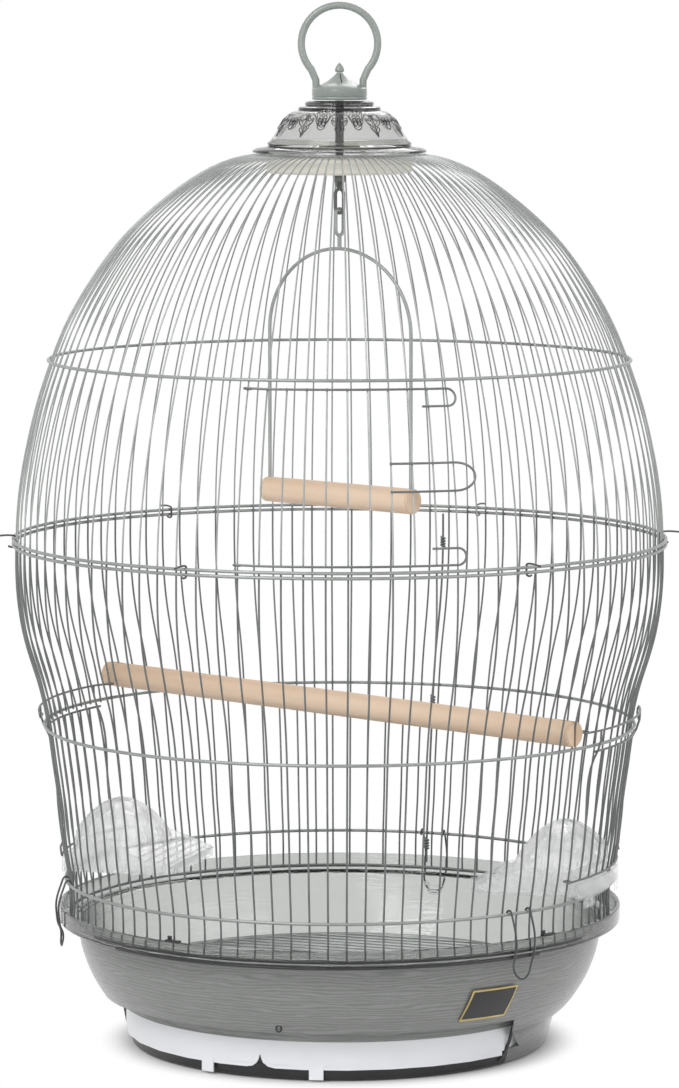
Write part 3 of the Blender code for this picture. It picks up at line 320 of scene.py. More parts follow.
def mottled(tree, shader, dark, light, scale, detail=4, stretch=(1, 1, 1)):
    """Colour that wanders between two near tones over the object."""
    coordinates = tree.nodes.new("ShaderNodeTexCoord")
    mapping = tree.nodes.new("ShaderNodeMapping")
    mapping.inputs["Scale"].default_value = stretch
    noise = tree.nodes.new("ShaderNodeTexNoise")
    noise.inputs["Scale"].default_value = scale
    noise.inputs["Detail"].default_value = detail
    ramp = tree.nodes.new("ShaderNodeValToRGB")
    ramp.color_ramp.elements[0].position, ramp.color_ramp.elements[1].position = 0.35, 0.65
    ramp.color_ramp.elements[0].color = (*dark, 1)
    ramp.color_ramp.elements[1].color = (*light, 1)
    tree.links.new(coordinates.outputs["Object"], mapping.inputs["Vector"])
    tree.links.new(mapping.outputs["Vector"], noise.inputs["Vector"])
    tree.links.new(noise.outputs["Fac"], ramp.inputs["Fac"])
    tree.links.new(ramp.outputs["Color"], shader.inputs["Base Color"])
    return noise


def relief(tree, shader, source, strength, distance=0.0002):
    bump = tree.nodes.new("ShaderNodeBump")
    bump.inputs["Strength"].default_value = strength
    bump.inputs["Distance"].default_value = distance
    tree.links.new(source, bump.inputs["Height"])
    tree.links.new(bump.outputs["Normal"], shader.inputs["Normal"])


def opaque(name, dark, light, roughness, metallic, scale, coat=0.0):
    made, tree, shader = shader_of(name)
    mottled(tree, shader, dark, light, scale)
    shader.inputs["Roughness"].default_value = roughness
    shader.inputs["Metallic"].default_value = metallic
    shader.inputs["Coat Weight"].default_value = coat
    return made


def see_through(name, tint, roughness=0.03, transmission=1.0, scale=40, bump=0.05, ior=1.46):
    made, tree, shader = shader_of(name)
    darker = tuple(0.97 * c for c in tint)
    noise = mottled(tree, shader, darker, tint, scale)
    shader.inputs["Roughness"].default_value = roughness
    shader.inputs["Transmission Weight"].default_value = transmission
    shader.inputs["IOR"].default_value = ior
    relief(tree, shader, noise.outputs["Fac"], bump)
    return made


def absorbing(made, tree, color, density):
    """Takes light away along the way through the wall, so edges seen along it are dark."""
    inside = tree.nodes.new("ShaderNodeVolumeAbsorption")
    inside.inputs["Color"].default_value = (*color, 1)
    inside.inputs["Density"].default_value = density
    out = [node for node in tree.nodes if node.type == "OUTPUT_MATERIAL"][0]
    tree.links.new(inside.outputs["Volume"], out.inputs["Volume"])
    return made


def ranged(tree, source, low, high, start, end):
    """The source's way from low to high, eased into one from start to end."""
    node = tree.nodes.new("ShaderNodeMapRange")
    node.interpolation_type = "SMOOTHSTEP"
    node.inputs["From Min"].default_value, node.inputs["From Max"].default_value = low, high
    node.inputs["To Min"].default_value, node.inputs["To Max"].default_value = start, end
    tree.links.new(source, node.inputs["Value"])
    return node.outputs["Result"]


def computed(tree, operation, one, two):
    node = tree.nodes.new("ShaderNodeMath")
    node.operation = operation
    tree.links.new(one, node.inputs[0])
    tree.links.new(two, node.inputs[1])
    return node.outputs["Value"]


def smoky_bowl(name):
    """Smoky plastic: clear at the lip and the back; round the front below the lip a darker, hazy tone with a
    fine wood grain, where the grain is the plastic's own and the darkening is painted shade.
    """
    made, tree, shader = shader_of(name)
    nodes, links = tree.nodes, tree.links
    at = nodes.new("ShaderNodeTexCoord")
    parts = nodes.new("ShaderNodeSeparateXYZ")
    links.new(at.outputs["Object"], parts.inputs["Vector"])
    front = ranged(tree, parts.outputs["Y"], -0.02, 0.10, 1.0, 0.0)
    under_lip = ranged(tree, parts.outputs["Z"], 0.0742, 0.0760, 1.0, 0.0)
    over_foot = ranged(tree, parts.outputs["Z"], 0.0200, 0.0240, 0.5, 1.0)
    # The front below the lip gets a darker, less clear tone than the back: painted shade, with the grain's
    # streaks in it.
    front_shade_and_haze = computed(tree, "MULTIPLY", computed(tree, "MULTIPLY", front, under_lip), over_foot)
    mapping = nodes.new("ShaderNodeMapping")
    mapping.inputs["Scale"].default_value = (0.13, 0.13, 1)
    grain = nodes.new("ShaderNodeTexWave")
    grain.bands_direction = "Z"
    grain.inputs["Scale"].default_value = 165
    grain.inputs["Distortion"].default_value = 15
    grain.inputs["Detail"].default_value = 5
    grain.inputs["Detail Scale"].default_value = 0.9
    links.new(at.outputs["Object"], mapping.inputs["Vector"])
    links.new(mapping.outputs["Vector"], grain.inputs["Vector"])
    # The grain's dark tones, which only the front takes on: the streaks are the plastic's own, their darkness
    # is painted shade.
    ramp = nodes.new("ShaderNodeValToRGB")
    ramp.color_ramp.elements[0].position, ramp.color_ramp.elements[1].position = 0.1, 0.9
    ramp.color_ramp.elements[0].color = (0.285, 0.295, 0.285, 1)
    ramp.color_ramp.elements[1].color = (0.375, 0.385, 0.375, 1)
    links.new(grain.outputs["Fac"], ramp.inputs["Fac"])
    tone = nodes.new("ShaderNodeMix")
    tone.data_type = "RGBA"
    tone.inputs[6].default_value = (0.74, 0.75, 0.74, 1)
    links.new(front_shade_and_haze, tone.inputs[0])
    links.new(ramp.outputs["Color"], tone.inputs[7])
    links.new(tone.outputs[2], shader.inputs["Base Color"])
    links.new(ranged(tree, front_shade_and_haze, 0, 1, 1.0, 0.30), shader.inputs["Transmission Weight"])
    links.new(ranged(tree, front_shade_and_haze, 0, 1, 0.04, 0.22), shader.inputs["Roughness"])
    shader.inputs["IOR"].default_value = 1.46
    relief(tree, shader, grain.outputs["Fac"], 0.5)
    return absorbing(made, tree, (0.45, 0.47, 0.45), 210)


def smoky(name, tint, color, density):
    made = see_through(name, tint, 0.03)
    return absorbing(made, made.node_tree, color, density)


def cloudy(name):
    """Clear plastic with a milky, streaked look."""
    made = see_through(name, (0.98, 0.985, 0.99), 0.12, 0.85, 75, 1.0, 1.18)
    nodes = made.node_tree.nodes
    nodes["Bump"].inputs["Distance"].default_value = 0.0008
    nodes["Principled BSDF"].inputs["Alpha"].default_value = 0.55
    return made


def wood(name, stretch):
    """Pale beech with fine streaks along the rod."""
    made, tree, shader = shader_of(name)
    noise = mottled(tree, shader, (0.62, 0.44, 0.30), (0.82, 0.63, 0.47), 26, 6, stretch)
    shader.inputs["Roughness"].default_value = 0.62
    relief(tree, shader, noise.outputs["Fac"], 0.25)
    return made


MATERIALS = {
    "wire": opaque("scene_wire", (0.31, 0.325, 0.315), (0.37, 0.385, 0.375), 0.36, 0.3, 90),
    "wire_low": opaque("scene_wire_low", (0.13, 0.14, 0.135), (0.17, 0.18, 0.175), 0.36, 0.3, 90),
    "hoop": opaque("scene_hoop", (0.27, 0.285, 0.275), (0.33, 0.345, 0.335), 0.34, 0.35, 90),
    "dark": opaque("scene_dark_wire", (0.06, 0.062, 0.062), (0.10, 0.103, 0.103), 0.30, 0.6, 90),
    "smoke": smoky_bowl("scene_smoke"),
    "cap": smoky("scene_cap", (0.86, 0.86, 0.855), (0.40, 0.40, 0.40), 85),
    "clear": cloudy("scene_clear"),
    "grey_green": opaque("scene_grey_green", (0.25, 0.28, 0.26), (0.29, 0.32, 0.295), 0.30, 0, 30, coat=0.3),
    "white": opaque("scene_white", (0.86, 0.87, 0.90), (0.90, 0.91, 0.94), 0.32, 0, 20, coat=0.2),
    "cream": opaque("scene_cream", (0.72, 0.70, 0.63), (0.78, 0.76, 0.69), 0.42, 0, 20),
    "relief": see_through("scene_relief", (0.20, 0.21, 0.21), 0.10),
    # Near black: the plaque's face, the lip tabs, the lug and the foot strips, and also the painted shadow
    # lines under the lip and the painted shade in the drawer's notch.
    "plate": opaque("scene_black_and_painted_shade", (0.016, 0.016, 0.017), (0.024, 0.024, 0.026), 0.30, 0, 40),
    "gold": opaque("scene_gold", (0.52, 0.40, 0.16), (0.62, 0.49, 0.22), 0.32, 0.7, 80),
    "wood": wood("scene_wood", (0.12, 1.6, 1.6)),
}


# Cage wires and hoops

def feeder_slots(side):
    middle = round(FEEDERS[side] / PITCH)
    return {(middle + k) % WIRE_COUNT for k in range(1 - DOOR_HALF, DOOR_HALF)}


def upper_half():
    run = wall_run(CROWN_Z, BELLY_Z - 0.0012, 44)
    paths = [[polar(r, k * PITCH, z) for r, z in run] for k in range(DOOR_HALF, WIRE_COUNT + 1 - DOOR_HALF)]
    nodes = [f"upper_wires_{n}" for n in range(1, 9)]
    place(smooth(tubes("upper_wires", paths, UPPER_WIRE_R)), "wire", nodes=nodes)
    run = wall_run(CROWN_Z, UPPER_HOOP_Z - 0.0010, 24)
    paths = [[polar(r, k * PITCH, z) for r, z in run] for k in range(1 - DOOR_HALF, DOOR_HALF)]
    place(smooth(tubes("wires_over_door", paths, UPPER_WIRE_R)), "wire", nodes=["upper_wires_over_door"])
    ring = circle(CROWN_RADIUS, CROWN_Z, PITCH)
    place(smooth(tubes("crown_ring", [ring], END_RING_R, closed=True)), "wire")


def lower_half():
    right, left = feeder_slots("right"), feeder_slots("left")
    run = wall_run(BELLY_Z + 0.0012, SEAT_Z, 40)
    whole = [k for k in range(WIRE_COUNT) if k not in right | left]
    paths = [[polar(r, k * PITCH, z) for r, z in run] for k in whole]
    nodes = [f"lower_wires_{s}_{n}" for s in ("front", "back") for n in range(1, 5)]
    place(smooth(tubes("lower_wires", paths, WIRE_R)), "wire_low", nodes=nodes)
    run = wall_run(LOWER_HOOP_Z + 0.0010, SEAT_Z, 5)
    paths = [[polar(r, k * PITCH, z) for r, z in run] for k in sorted(right | left)]
    nodes = ["sill_wires_right", "sill_wires_left"]
    place(smooth(tubes("sill_wires", paths, WIRE_R)), "wire_low", nodes=nodes)
    run = wall_run(BELLY_Z + 0.0012, PERCH_HOOP_Z - 0.0012, 24)
    paths = [[polar(r, k * PITCH, z) for r, z in run] for k in sorted(right | left)]
    place(smooth(tubes("short_wires", paths, WIRE_R)), "wire_low")
    ring = circle(SEAT_RADIUS, SEAT_Z, PITCH)
    place(smooth(tubes("seat_ring", [ring], END_RING_R, closed=True)), "wire_low")


def hoop_radius(z):
    return wall_radius(z) + WIRE_R + GAP + HOOP_R


def hoops():
    spots = {
        "upper_hoop": (UPPER_HOOP_Z, UPPER_HOOP_Z),
        "belly_hoop_upper": (BELLY_Z + BELLY_HOOP_OFFSET, BELLY_Z),
        "belly_hoop_lower": (BELLY_Z - BELLY_HOOP_OFFSET, BELLY_Z),
        "perch_hoop": (PERCH_HOOP_Z, PERCH_HOOP_Z),
        "lower_hoop": (LOWER_HOOP_Z, LOWER_HOOP_Z),
    }
    for name, (z, at) in spots.items():
        ring = circle(hoop_radius(at), z, 2.5)
        place(smooth(tubes(f"scene_{name}", [ring], HOOP_R, sides=10, closed=True)), "hoop", nodes=[name])


# Doors

def arc(r, first, last, z, step=1.5):
    count = max(2, round(abs(last - first) / step) + 1)
    return [polar(r, a, z) for a in np.linspace(first, last, count)]


def hinge_eye(z, azimuth, axis, turn=300, play=0.0009):
    """The curl of a rail round the cage wire that it turns on."""
    centre = polar(wall_radius(z), azimuth, z)
    side = -sideways(azimuth)
    side = (side - axis * side.dot(axis)).normalized()
    out = side.cross(axis).normalized()
    if out.dot(outward(azimuth)) < 0:
        out = -out
    r = WIRE_R + play + RAIL_R
    angles = np.linspace(0, radians(turn), 18)
    return [centre + out * r * cos(a) + side * r * sin(a) for a in angles]


def u_hook(z, end, r, rise, reach=0.0050, back=0.0155):
    """The bent back end of a rail, which catches behind the closing wire."""
    points = []
    for angle in np.linspace(-90, 90, 13):
        turn = radians(angle)
        height = z + rise / 2 + rise / 2 * sin(turn)
        lean = wall_radius(height) - wall_radius(z)
        points.append(polar(r + lean, end + degrees(reach / r) * cos(turn), height))
    height = z + rise
    lean = wall_radius(height) - wall_radius(z)
    points.append(polar(r + lean, end - degrees(back / r), height))
    return points


def door_axis(azimuth, top, bottom):
    high, low = polar(wall_radius(top), azimuth, top), polar(wall_radius(bottom), azimuth, bottom)
    return (high - low).normalized()


def rail(z, middle, axis, bar_offset, clear_offset, rise):
    """One rail from its hinge eye, past the bars, to its hook."""
    half = DOOR_HALF * PITCH
    bars = (DOOR_HALF - 1) * PITCH + 0.5
    r = wall_radius(z)
    points = list(reversed(hinge_eye(z, middle - half, axis)))
    points += arc(r + bar_offset, middle - bars, middle + bars, z)
    return points + u_hook(z, middle + half - 0.1, r + clear_offset, rise)


def door_azimuths(middle):
    return [middle + k * PITCH for k in range(1 - DOOR_HALF, DOOR_HALF)]


def front_door():
    top, bottom = UPPER_HOOP_Z - 0.0051, BELLY_Z + BELLY_HOOP_OFFSET + 0.0036
    axis = door_axis(-DOOR_HALF * PITCH, top, bottom)
    offset, clear = WIRE_R + RAIL_R * 0.8, WIRE_R + GAP + RAIL_R + 0.0001
    run = wall_run(top + RAIL_R, bottom - RAIL_R / 2, 16)
    bars = [[polar(r, a, z) for r, z in run] for a in door_azimuths(0)]
    rise = 0.0098
    rails = [rail(top, 0, axis, offset, clear, -rise), rail(bottom, 0, axis, offset, clear, rise)]
    place(smooth(tubes("scene_door_bars", bars, DOOR_BAR_R)), "wire", "front_door", ["front_door"])
    place(smooth(tubes("scene_door_rails", rails, RAIL_R)), "wire_low", "front_door", ["front_door"])


def door_handle():
    """The D-shaped latch, whose round end reaches past the closing wire."""
    z, half, reach, start, end = 0.3649, 0.0080, 0.0125, 7.2, DOOR_HALF * PITCH

    def over_bars(height):
        return wall_radius(height) + 1.6 * GAP + 2 * RAIL_R

    curve = []
    for angle in np.linspace(90, -90, 19):
        turn = radians(angle)
        height = z + half * sin(turn)
        r = over_bars(height)
        curve.append(polar(r, end + degrees(reach / r) * cos(turn), height))
    upper, lower = [arc(over_bars(height), start, end - 1, height) for height in (z + half, z - half)]
    path = upper + curve + lower[::-1]
    place(smooth(tubes("scene_handle", [path], RAIL_R)), "wire_low", "front_door", ["door_handle"])


def feeder_door(side):
    middle = FEEDERS[side]
    top, head, bottom = PERCH_HOOP_Z + 0.0090, PERCH_HOOP_Z - 0.0040, 0.1145
    axis = door_axis(middle - DOOR_HALF * PITCH, top, bottom)
    offset = 2 * WIRE_R + GAP
    past = WIRE_R + 2 * GAP + 2 * HOOP_R + RAIL_R
    azimuths = door_azimuths(middle)
    run = wall_run(head + RAIL_R / 2, bottom - RAIL_R / 2, 10)
    paths = [[polar(r + offset, a, z) for r, z in run] for a in azimuths[1:-1]]
    post = [
        (wall_radius(top) + past, top),
        (wall_radius(PERCH_HOOP_Z) + past + 0.0003, PERCH_HOOP_Z - HOOP_R),
        (wall_radius(head) + offset + RAIL_R, head - 0.002),
        (wall_radius(0.15) + offset, 0.15),
        (wall_radius(bottom) + offset, bottom),
    ]
    post = spline(post, 16)
    paths += [[polar(r, a, z) for r, z in post] for a in (azimuths[0], azimuths[-1])]
    rise = 0.0055
    paths.append(rail(top, middle, axis, past, past, -rise))
    paths.append(rail(bottom, middle, axis, offset + RAIL_R, offset + RAIL_R, rise))
    paths.append(arc(wall_radius(head) + offset + RAIL_R, azimuths[0] - 0.6, azimuths[-1] + 0.6, head))
    door = smooth(tubes(f"scene_feeder_door_{side}", paths, RAIL_R))
    place(door, "wire_low", f"feeder_door_{side}", [f"feeder_door_{side}"])


# Clips and the seam

def base_clips():
    """Wire bails that hook round the lower hoop and catch under the base's lip."""
    wrap = HOOP_R + 2 * GAP + CLIP_R
    for number, azimuth in enumerate(BASE_CLIPS, 1):
        ring = hoop_radius(LOWER_HOOP_Z)
        leg = []
        for a in (215, 180, 145, 110, 75, 40, 10):
            t = radians(a)
            leg.append((ring + wrap * cos(t), LOWER_HOOP_Z + wrap * sin(t), 0.0073))
        leg += [
            (0.1744, 0.0874, 0.0073), (0.1739, 0.0790, 0.0073), (0.1732, 0.0752, 0.0072),
            (0.1721, 0.0727, 0.0071), (0.1715, 0.0695, 0.0066), (0.1718, 0.0655, 0.0050),
        ]
        loop = [(0.1720, 0.0626, 0.0)]
        path = spline(leg + loop + [(r, z, -t) for r, z, t in reversed(leg)], 120)
        points = [outward(azimuth) * r + sideways(azimuth) * t + Vector((0, 0, z)) for r, z, t in path]
        clip = smooth(tubes(f"scene_base_clip_{number}", [points], CLIP_R))
        place(clip, "dark", f"base_clip_{number}", [f"base_clip_{number}"])


def belly_clips():
    """Short hooks that hold the two belly hoops together."""
    ring = hoop_radius(BELLY_Z)
    wrap = HOOP_R + 1.6 * GAP + CLIP_R
    top, low = BELLY_Z + BELLY_HOOP_OFFSET + wrap, BELLY_Z - BELLY_HOOP_OFFSET - wrap
    path = [
        (ring + 0.0118, top - 0.0006), (ring + 0.0030, top + 0.0002), (ring, top),
        (ring - wrap * 0.9, BELLY_Z + 0.0030), (ring - wrap, BELLY_Z), (ring - wrap * 0.9, BELLY_Z - 0.0030),
        (ring, low), (ring + 0.0016, low + 0.0002), (ring + 0.0030, low + 0.0008),
    ]
    path = spline(path, 40)
    count, first = 6, 8.5 * PITCH
    for number in range(count):
        azimuth = first + number * 360 / count
        points = [polar(r, azimuth, z) for r, z in path]
        clip = smooth(tubes(f"scene_belly_clip_{number + 1}", [points], CLIP_R))
        place(clip, "dark", "cage", [f"belly_clip_{number + 1}"])


def seam():
    """The wire that closes the lower half at its back, with three short twists."""
    azimuth = SEAM_AZIMUTH + degrees(0.0034 / wall_radius(LOWER_HOOP_Z))
    coil_r, coil_half, turns, steps = 0.0012, 0.0035, 4, 48
    run = wall_run(0.3062, 0.0829, 30)
    paths = [[polar(r, azimuth, z) for r, z in run]]
    for z in (0.2880, 0.1868, 0.0950):
        coil = []
        for step in range(steps + 1):
            height = z + coil_half - 2 * coil_half * step / steps
            turn = 2 * pi * turns * step / steps
            swerve = outward(azimuth) * cos(turn) + sideways(azimuth) * sin(turn)
            coil.append(polar(wall_radius(height), azimuth, height) + swerve * coil_r)
        paths.append(coil)
    place(smooth(tubes("scene_seam", paths, 0.0007)), "wire_low", nodes=["seam_rod"])


# Base

def base_profile():
    """Down the inside from the floor, round the lip and down the outside to the foot."""
    bowl = spline([(0.1606, 0.0750), (0.1600, 0.0680), (0.1587, 0.0600), (0.1567, 0.0534), (0.1536, 0.0455),
                   (0.1490, 0.0370), (0.1393, 0.0244), (0.1331, 0.0195)], 36)
    inner = spline([(0.1297, 0.0205), (0.1369, 0.0262), (0.1466, 0.0380), (0.1512, 0.0462), (0.1543, 0.0540),
                    (0.1563, 0.0605), (0.1577, 0.0680), (0.1583, 0.0768)], 24)
    return [
        (0, 0.0095), (0.1260, 0.0095), (0.1282, 0.0120), (0.1292, 0.0182), *inner,
        (0.1590, SEAT_Z - 0.0018), (0.1697, SEAT_Z - 0.0018),
        (0.1700, LIP_TOP - 0.0007), (0.1706, LIP_TOP), (0.1718, LIP_TOP), (LIP_RADIUS, LIP_TOP - 0.0007),
        (LIP_RADIUS, 0.0770), (0.1719, 0.0761), (0.1711, LIP_BOTTOM), (0.1614, 0.0756), *bowl,
        (0.1320, 0.0172), (0.1300, 0.0100), (0.1286, 0.0050), (0.1275, 0.0015), (0.1255, 0.0),
        (0.1200, 0.0), (0.1190, 0.0071), (0, 0.0071),
    ]


def base():
    bowl = turned("scene_bowl", base_profile())
    flare = [(-0.02, -SLOT_HALF), (0.041, -SLOT_HALF), (0.075, -SLOT_FLARE), (0.18, -SLOT_FLARE)]
    slot = prism("slot", flare + [(x, -y) for x, y in reversed(flare)], 0.0096, SLOT_TOP, BASE_AZIMUTH)
    core = rod("core", 0.124, (0, 0, 0), (0, 0, SLOT_TOP + 0.01), 96)
    bowl = combined(bowl, [combined(slot, [core], "DIFFERENCE")], "DIFFERENCE")
    lintel = turned("lintel", [(0.1464, 0.0340), (0.1456, 0.0316), (0.1334, 0.0316), (0.1334, 0.0245),
                               (0.1310, 0.0245), (0.1310, 0.0340)])
    reach = SLOT_FLARE - 0.0006
    front = box("front", (0, -reach, 0), (0.18, reach, SLOT_TOP + 0.01), BASE_AZIMUTH)
    bowl = combined(bowl, [combined(lintel, [front], "INTERSECT")])
    place(smooth(bowl, 35), "smoke", nodes=["base_bowl"])


def sheet(name, rows, thickness=0.0003):
    """A thin curved plate through rows of points, thickened outward."""
    wide = len(rows[0])
    faces = [(i * wide + j, i * wide + j + 1, (i + 1) * wide + j + 1, (i + 1) * wide + j)
             for i in range(len(rows) - 1) for j in range(wide - 1)]
    mesh = bpy.data.meshes.new(name)
    mesh.from_pydata([p for row in rows for p in row], [], faces)
    obj = link(name, mesh)
    solid = obj.modifiers.new("thick", "SOLIDIFY")
    solid.thickness = thickness
    solid.offset = 1
    return meshed(obj)


def base_lines():
    """A dark strip along the foot under the drawer and dark strips down the slot's two ends, and painted
    shadow lines under the lip and at the seat's edge seen through it.
    """
    profile = [(0.1257, 0.0004), (0.1277, 0.0016), (0.1288, 0.0050), (0.1298, 0.0078), (0.1302, 0.0097)]
    rows = [[polar(r, a, z) for a in np.linspace(-94, 49.5, 72)] for r, z in profile]
    place(smooth(sheet("scene_foot_band", rows)), "plate")
    end = [(0.1345, 0.0268, 72.3), (0.1326, 0.0172, 71.7), (0.1307, 0.0090, 70.3), (0.1288, 0.0030, 68.9)]
    end = spline(end, 16)
    ends = [[polar(r, BASE_AZIMUTH + side * a, z) for r, z, a in end] for side in (1, -1)]
    place(smooth(tubes("scene_slot_ends", ends, 0.0011)), "plate")
    # Painted shadow lines: black tubes just under the lip, at the front and at the back.
    within = LIP_RADIUS - 0.0015
    edges = [[polar(within, a, z) for a in np.arange(first, last, 2)]
             for first, last, z in ((-52, 44, 0.0762), (148, 216, 0.0769))]
    place(smooth(tubes("scene_lip_shadow_lines", edges, 0.0013)), "plate")
    # A second painted shadow line, along the seat's edge seen through the lip's front.
    edge = [polar(within, a, 0.0794) for a in np.arange(-60, 58, 2)]
    place(smooth(tubes("scene_seat_shadow_line", [edge], 0.0008)), "plate")


def drawer_plan(shrink):
    half, front = DRAWER_HALF - shrink, DRAWER_FRONT - shrink
    turn = degrees(asin(half / front))
    plan = [(front * cos(radians(a)), front * sin(radians(a))) for a in np.linspace(-turn, turn, 61)]
    return plan + [(half * cos(radians(a)), half * sin(radians(a))) for a in np.linspace(90, 270, 61)]


def drawer():
    tray = prism("scene_drawer", drawer_plan(0), DRAWER_BOTTOM, DRAWER_TOP, BASE_AZIMUTH)
    hollow = prism("hollow", drawer_plan(DRAWER_WALL), DRAWER_BOTTOM + DRAWER_WALL, 0.04, BASE_AZIMUTH)
    tray = combined(tray, [hollow], "DIFFERENCE")
    low, high = (0.1304, -0.0043, 0.0012), (0.1314, 0.0043, 0.0129)
    tabs = [box("tab", low, high, BASE_AZIMUTH + a) for a in (-15.8, 15.0)]
    tray = combined(tray, tabs + [sector("apron", 0.1305, 0.1314, 0.0071, 0.0110, BASE_AZIMUTH, 69)])
    peak = [(-2.1, 0), (-1.1, 2), (0, 5.6), (1.1, 2), (2.1, 0)]
    flanks = [(5, -2.1), (9, -2.9), (9, -4), (-9, -4), (-9, -2.9), (-5, -2.1)]
    notch = drawer_plate("notch", peak + flanks, 0.1285, 0.1335)
    corner = [(-17.5, 15), (-17.5, 11.6), (-15.5, 11.6), (-15.5, 10.4), (-12, 10.4), (-12, 15)]
    step = drawer_plate("step", corner, 0.1311, 0.1335)
    tray = combined(tray, [notch, step], "DIFFERENCE")
    place(smooth(tray, 35), "white", "drawer", ["drawer"])
    # A black plate inside the notch's peak: painted shade for the dark inside of the tray seen through the
    # notch.
    shade = drawer_plate("scene_notch_painted_shade", peak, 0.1296, 0.1302)
    place(shade, "plate", "drawer")


def grille():
    z, r = 0.0380, 0.1430
    rim = tubes("scene_grille", [circle(r, z, 3)], 0.0012, closed=True)
    pitch, lift = 0.0092, Vector((0, 0, z))
    paths = []
    for k in range(-15, 16):
        half = (r * r - (k * pitch) ** 2) ** 0.5
        middle, across = outward(BASE_AZIMUTH) * k * pitch + lift, sideways(BASE_AZIMUTH) * half
        paths.append([middle - across, middle + across])
    bars = tubes("bars", paths, 0.0009)
    place(smooth(joined(rim, [bars])), "hoop", nodes=["floor_grille"])


# Cap and hanger

def cap():
    plate = rounded([(0, 0.54257), (0.0490, 0.54257), (0.0490, 0.5400), (0.0443, 0.5400), (0.0443, 0.5340),
                     (0.0425, 0.5326), (0.030, 0.5322), (0, 0.5322)])
    place(smooth(turned("scene_top_plate", plate, 96)), "cream", nodes=["top_plate"])
    wall = 0.0018
    dome = spline(DOME, 18)
    under = [(r - wall, z - 0.0006) for r, z in reversed(dome)]
    outline = [
        (0.0029, 0.5764), (0.0176, 0.5764), (0.0202, 0.5757), (0.0209, 0.5748), (0.0209, 0.5738),
        (0.0200, 0.5731), (0.0238, 0.5729), (0.0249, 0.5723), (0.0249, 0.5712), *dome,
        (0.0433, 0.5514), (0.0439, 0.5505), (0.0432, 0.5494), (0.0446, 0.5486), (0.0502, 0.5480),
        (0.0528, 0.5466), (0.0528, 0.5453), (0.0510, 0.5453), (0.0488, 0.5464), (0.0420, 0.5474),
        *under, (0.0225, 0.5694), (0.0186, 0.5716), (0.0029, 0.5716),
    ]
    place(smooth(turned("scene_cap", outline, 128), 50), "cap", nodes=["cap_dome"])
    place(smooth(rod("scene_stem", 0.0026, (0, 0, 0.5429), (0, 0, 0.5765), 24)), "dark", nodes=["stem_bolt"])


def on_dome(azimuth, z, lift=0.0001):
    heights = [h for r, h in reversed(DOME)]
    return polar(float(np.interp(z, heights, [r for r, h in reversed(DOME)])) + lift, azimuth, z)


def cap_relief():
    """Leaves, scrolls and hearts that stand a little out of the dome, as (degrees, height)."""
    leaf = [(0, 0.5552), (1.8, 0.5580), (4.4, 0.5602), (2.4, 0.5612), (6.6, 0.5630), (8.0, 0.5652),
            (3.2, 0.5648), (1.2, 0.5670), (0, 0.5683)]
    scroll = [(1.5, 0.5672), (5.0, 0.5684), (9.6, 0.5672), (12.4, 0.5640), (16.2, 0.5622), (18.6, 0.5640),
              (17.0, 0.5662), (13.6, 0.5656), (14.6, 0.5640)]
    heart = [(18.0, 0.5596), (14.2, 0.5618), (15.6, 0.5650), (18.0, 0.5636)]
    paths = []
    for k in range(10):
        middle = 36 * k + LEAF_AZIMUTH
        for side in (-1, 1):
            for run, count in ((leaf, 24), (scroll, 28), (heart, 10)):
                line = spline([(a * side, z * 1000) for a, z in run], count)
                paths.append([on_dome(middle + a, z / 1000) for a, z in line])
        paths.append([on_dome(middle, z) for z in np.linspace(0.5560, 0.5665, 8)])
    place(smooth(tubes("scene_cap_relief", paths, 0.00036, sides=6)), "relief")


def hanger():
    outline = [(0, 0.5932), (0.0018, 0.5931), (0.0040, 0.5908), (0.0080, 0.5877), (0.0118, 0.5860),
               (0.0158, 0.5845), (0.0167, 0.5836), (0.0167, 0.5794), (0.0163, 0.5789), (0.0167, 0.5784),
               (0.0167, 0.5776), (0.0162, 0.5770), (0, 0.5770)]
    collar = turned("scene_hanger", outline, 96)
    slot = box("slot", (0.0012, -0.0003, 0.5872), (0.0090, 0.0003, 0.5925), 8)
    collar = combined(collar, [slot], "DIFFERENCE")
    neck, ring_radius, ring_z = 0.0141, 0.0231, 0.6108
    leg = [(neck, 0, 0.5820), (neck + 0.0001, 0, 0.5856), (neck + 0.0002, 0, 0.5888)]
    turns = np.radians(np.linspace(-42, 222, 50))
    bow = [(ring_radius * cos(a), 0, ring_z + ring_radius * sin(a)) for a in turns]
    path = leg + bow + [(-x, y, z) for x, y, z in reversed(leg)]
    ring = tubes("ring", [path], 0.00225, sides=16)
    place(smooth(combined(collar, [ring])), "grey_green", nodes=["hanger"])
    bud = [(0, 0.5996), (0.0012, 0.5982), (0.0024, 0.5964), (0.0029, 0.5948), (0.0025, 0.5938),
           (0.0019, 0.5934), (0, 0.5933)]
    place(smooth(turned("scene_finial", bud, 32)), "grey_green", nodes=["finial"])


# Swing and perch

def oval(centre_z, half_width, height, direction):
    """A link of chain, upright on the cage's axis."""
    straight = height / 2 - half_width
    points = []
    for angle in np.arange(0, 360, 12):
        t = radians(angle + 6)
        lift = straight if sin(t) > 0 else -straight
        points.append(direction * half_width * cos(t) + Vector((0, 0, centre_z + lift + half_width * sin(t))))
    return points


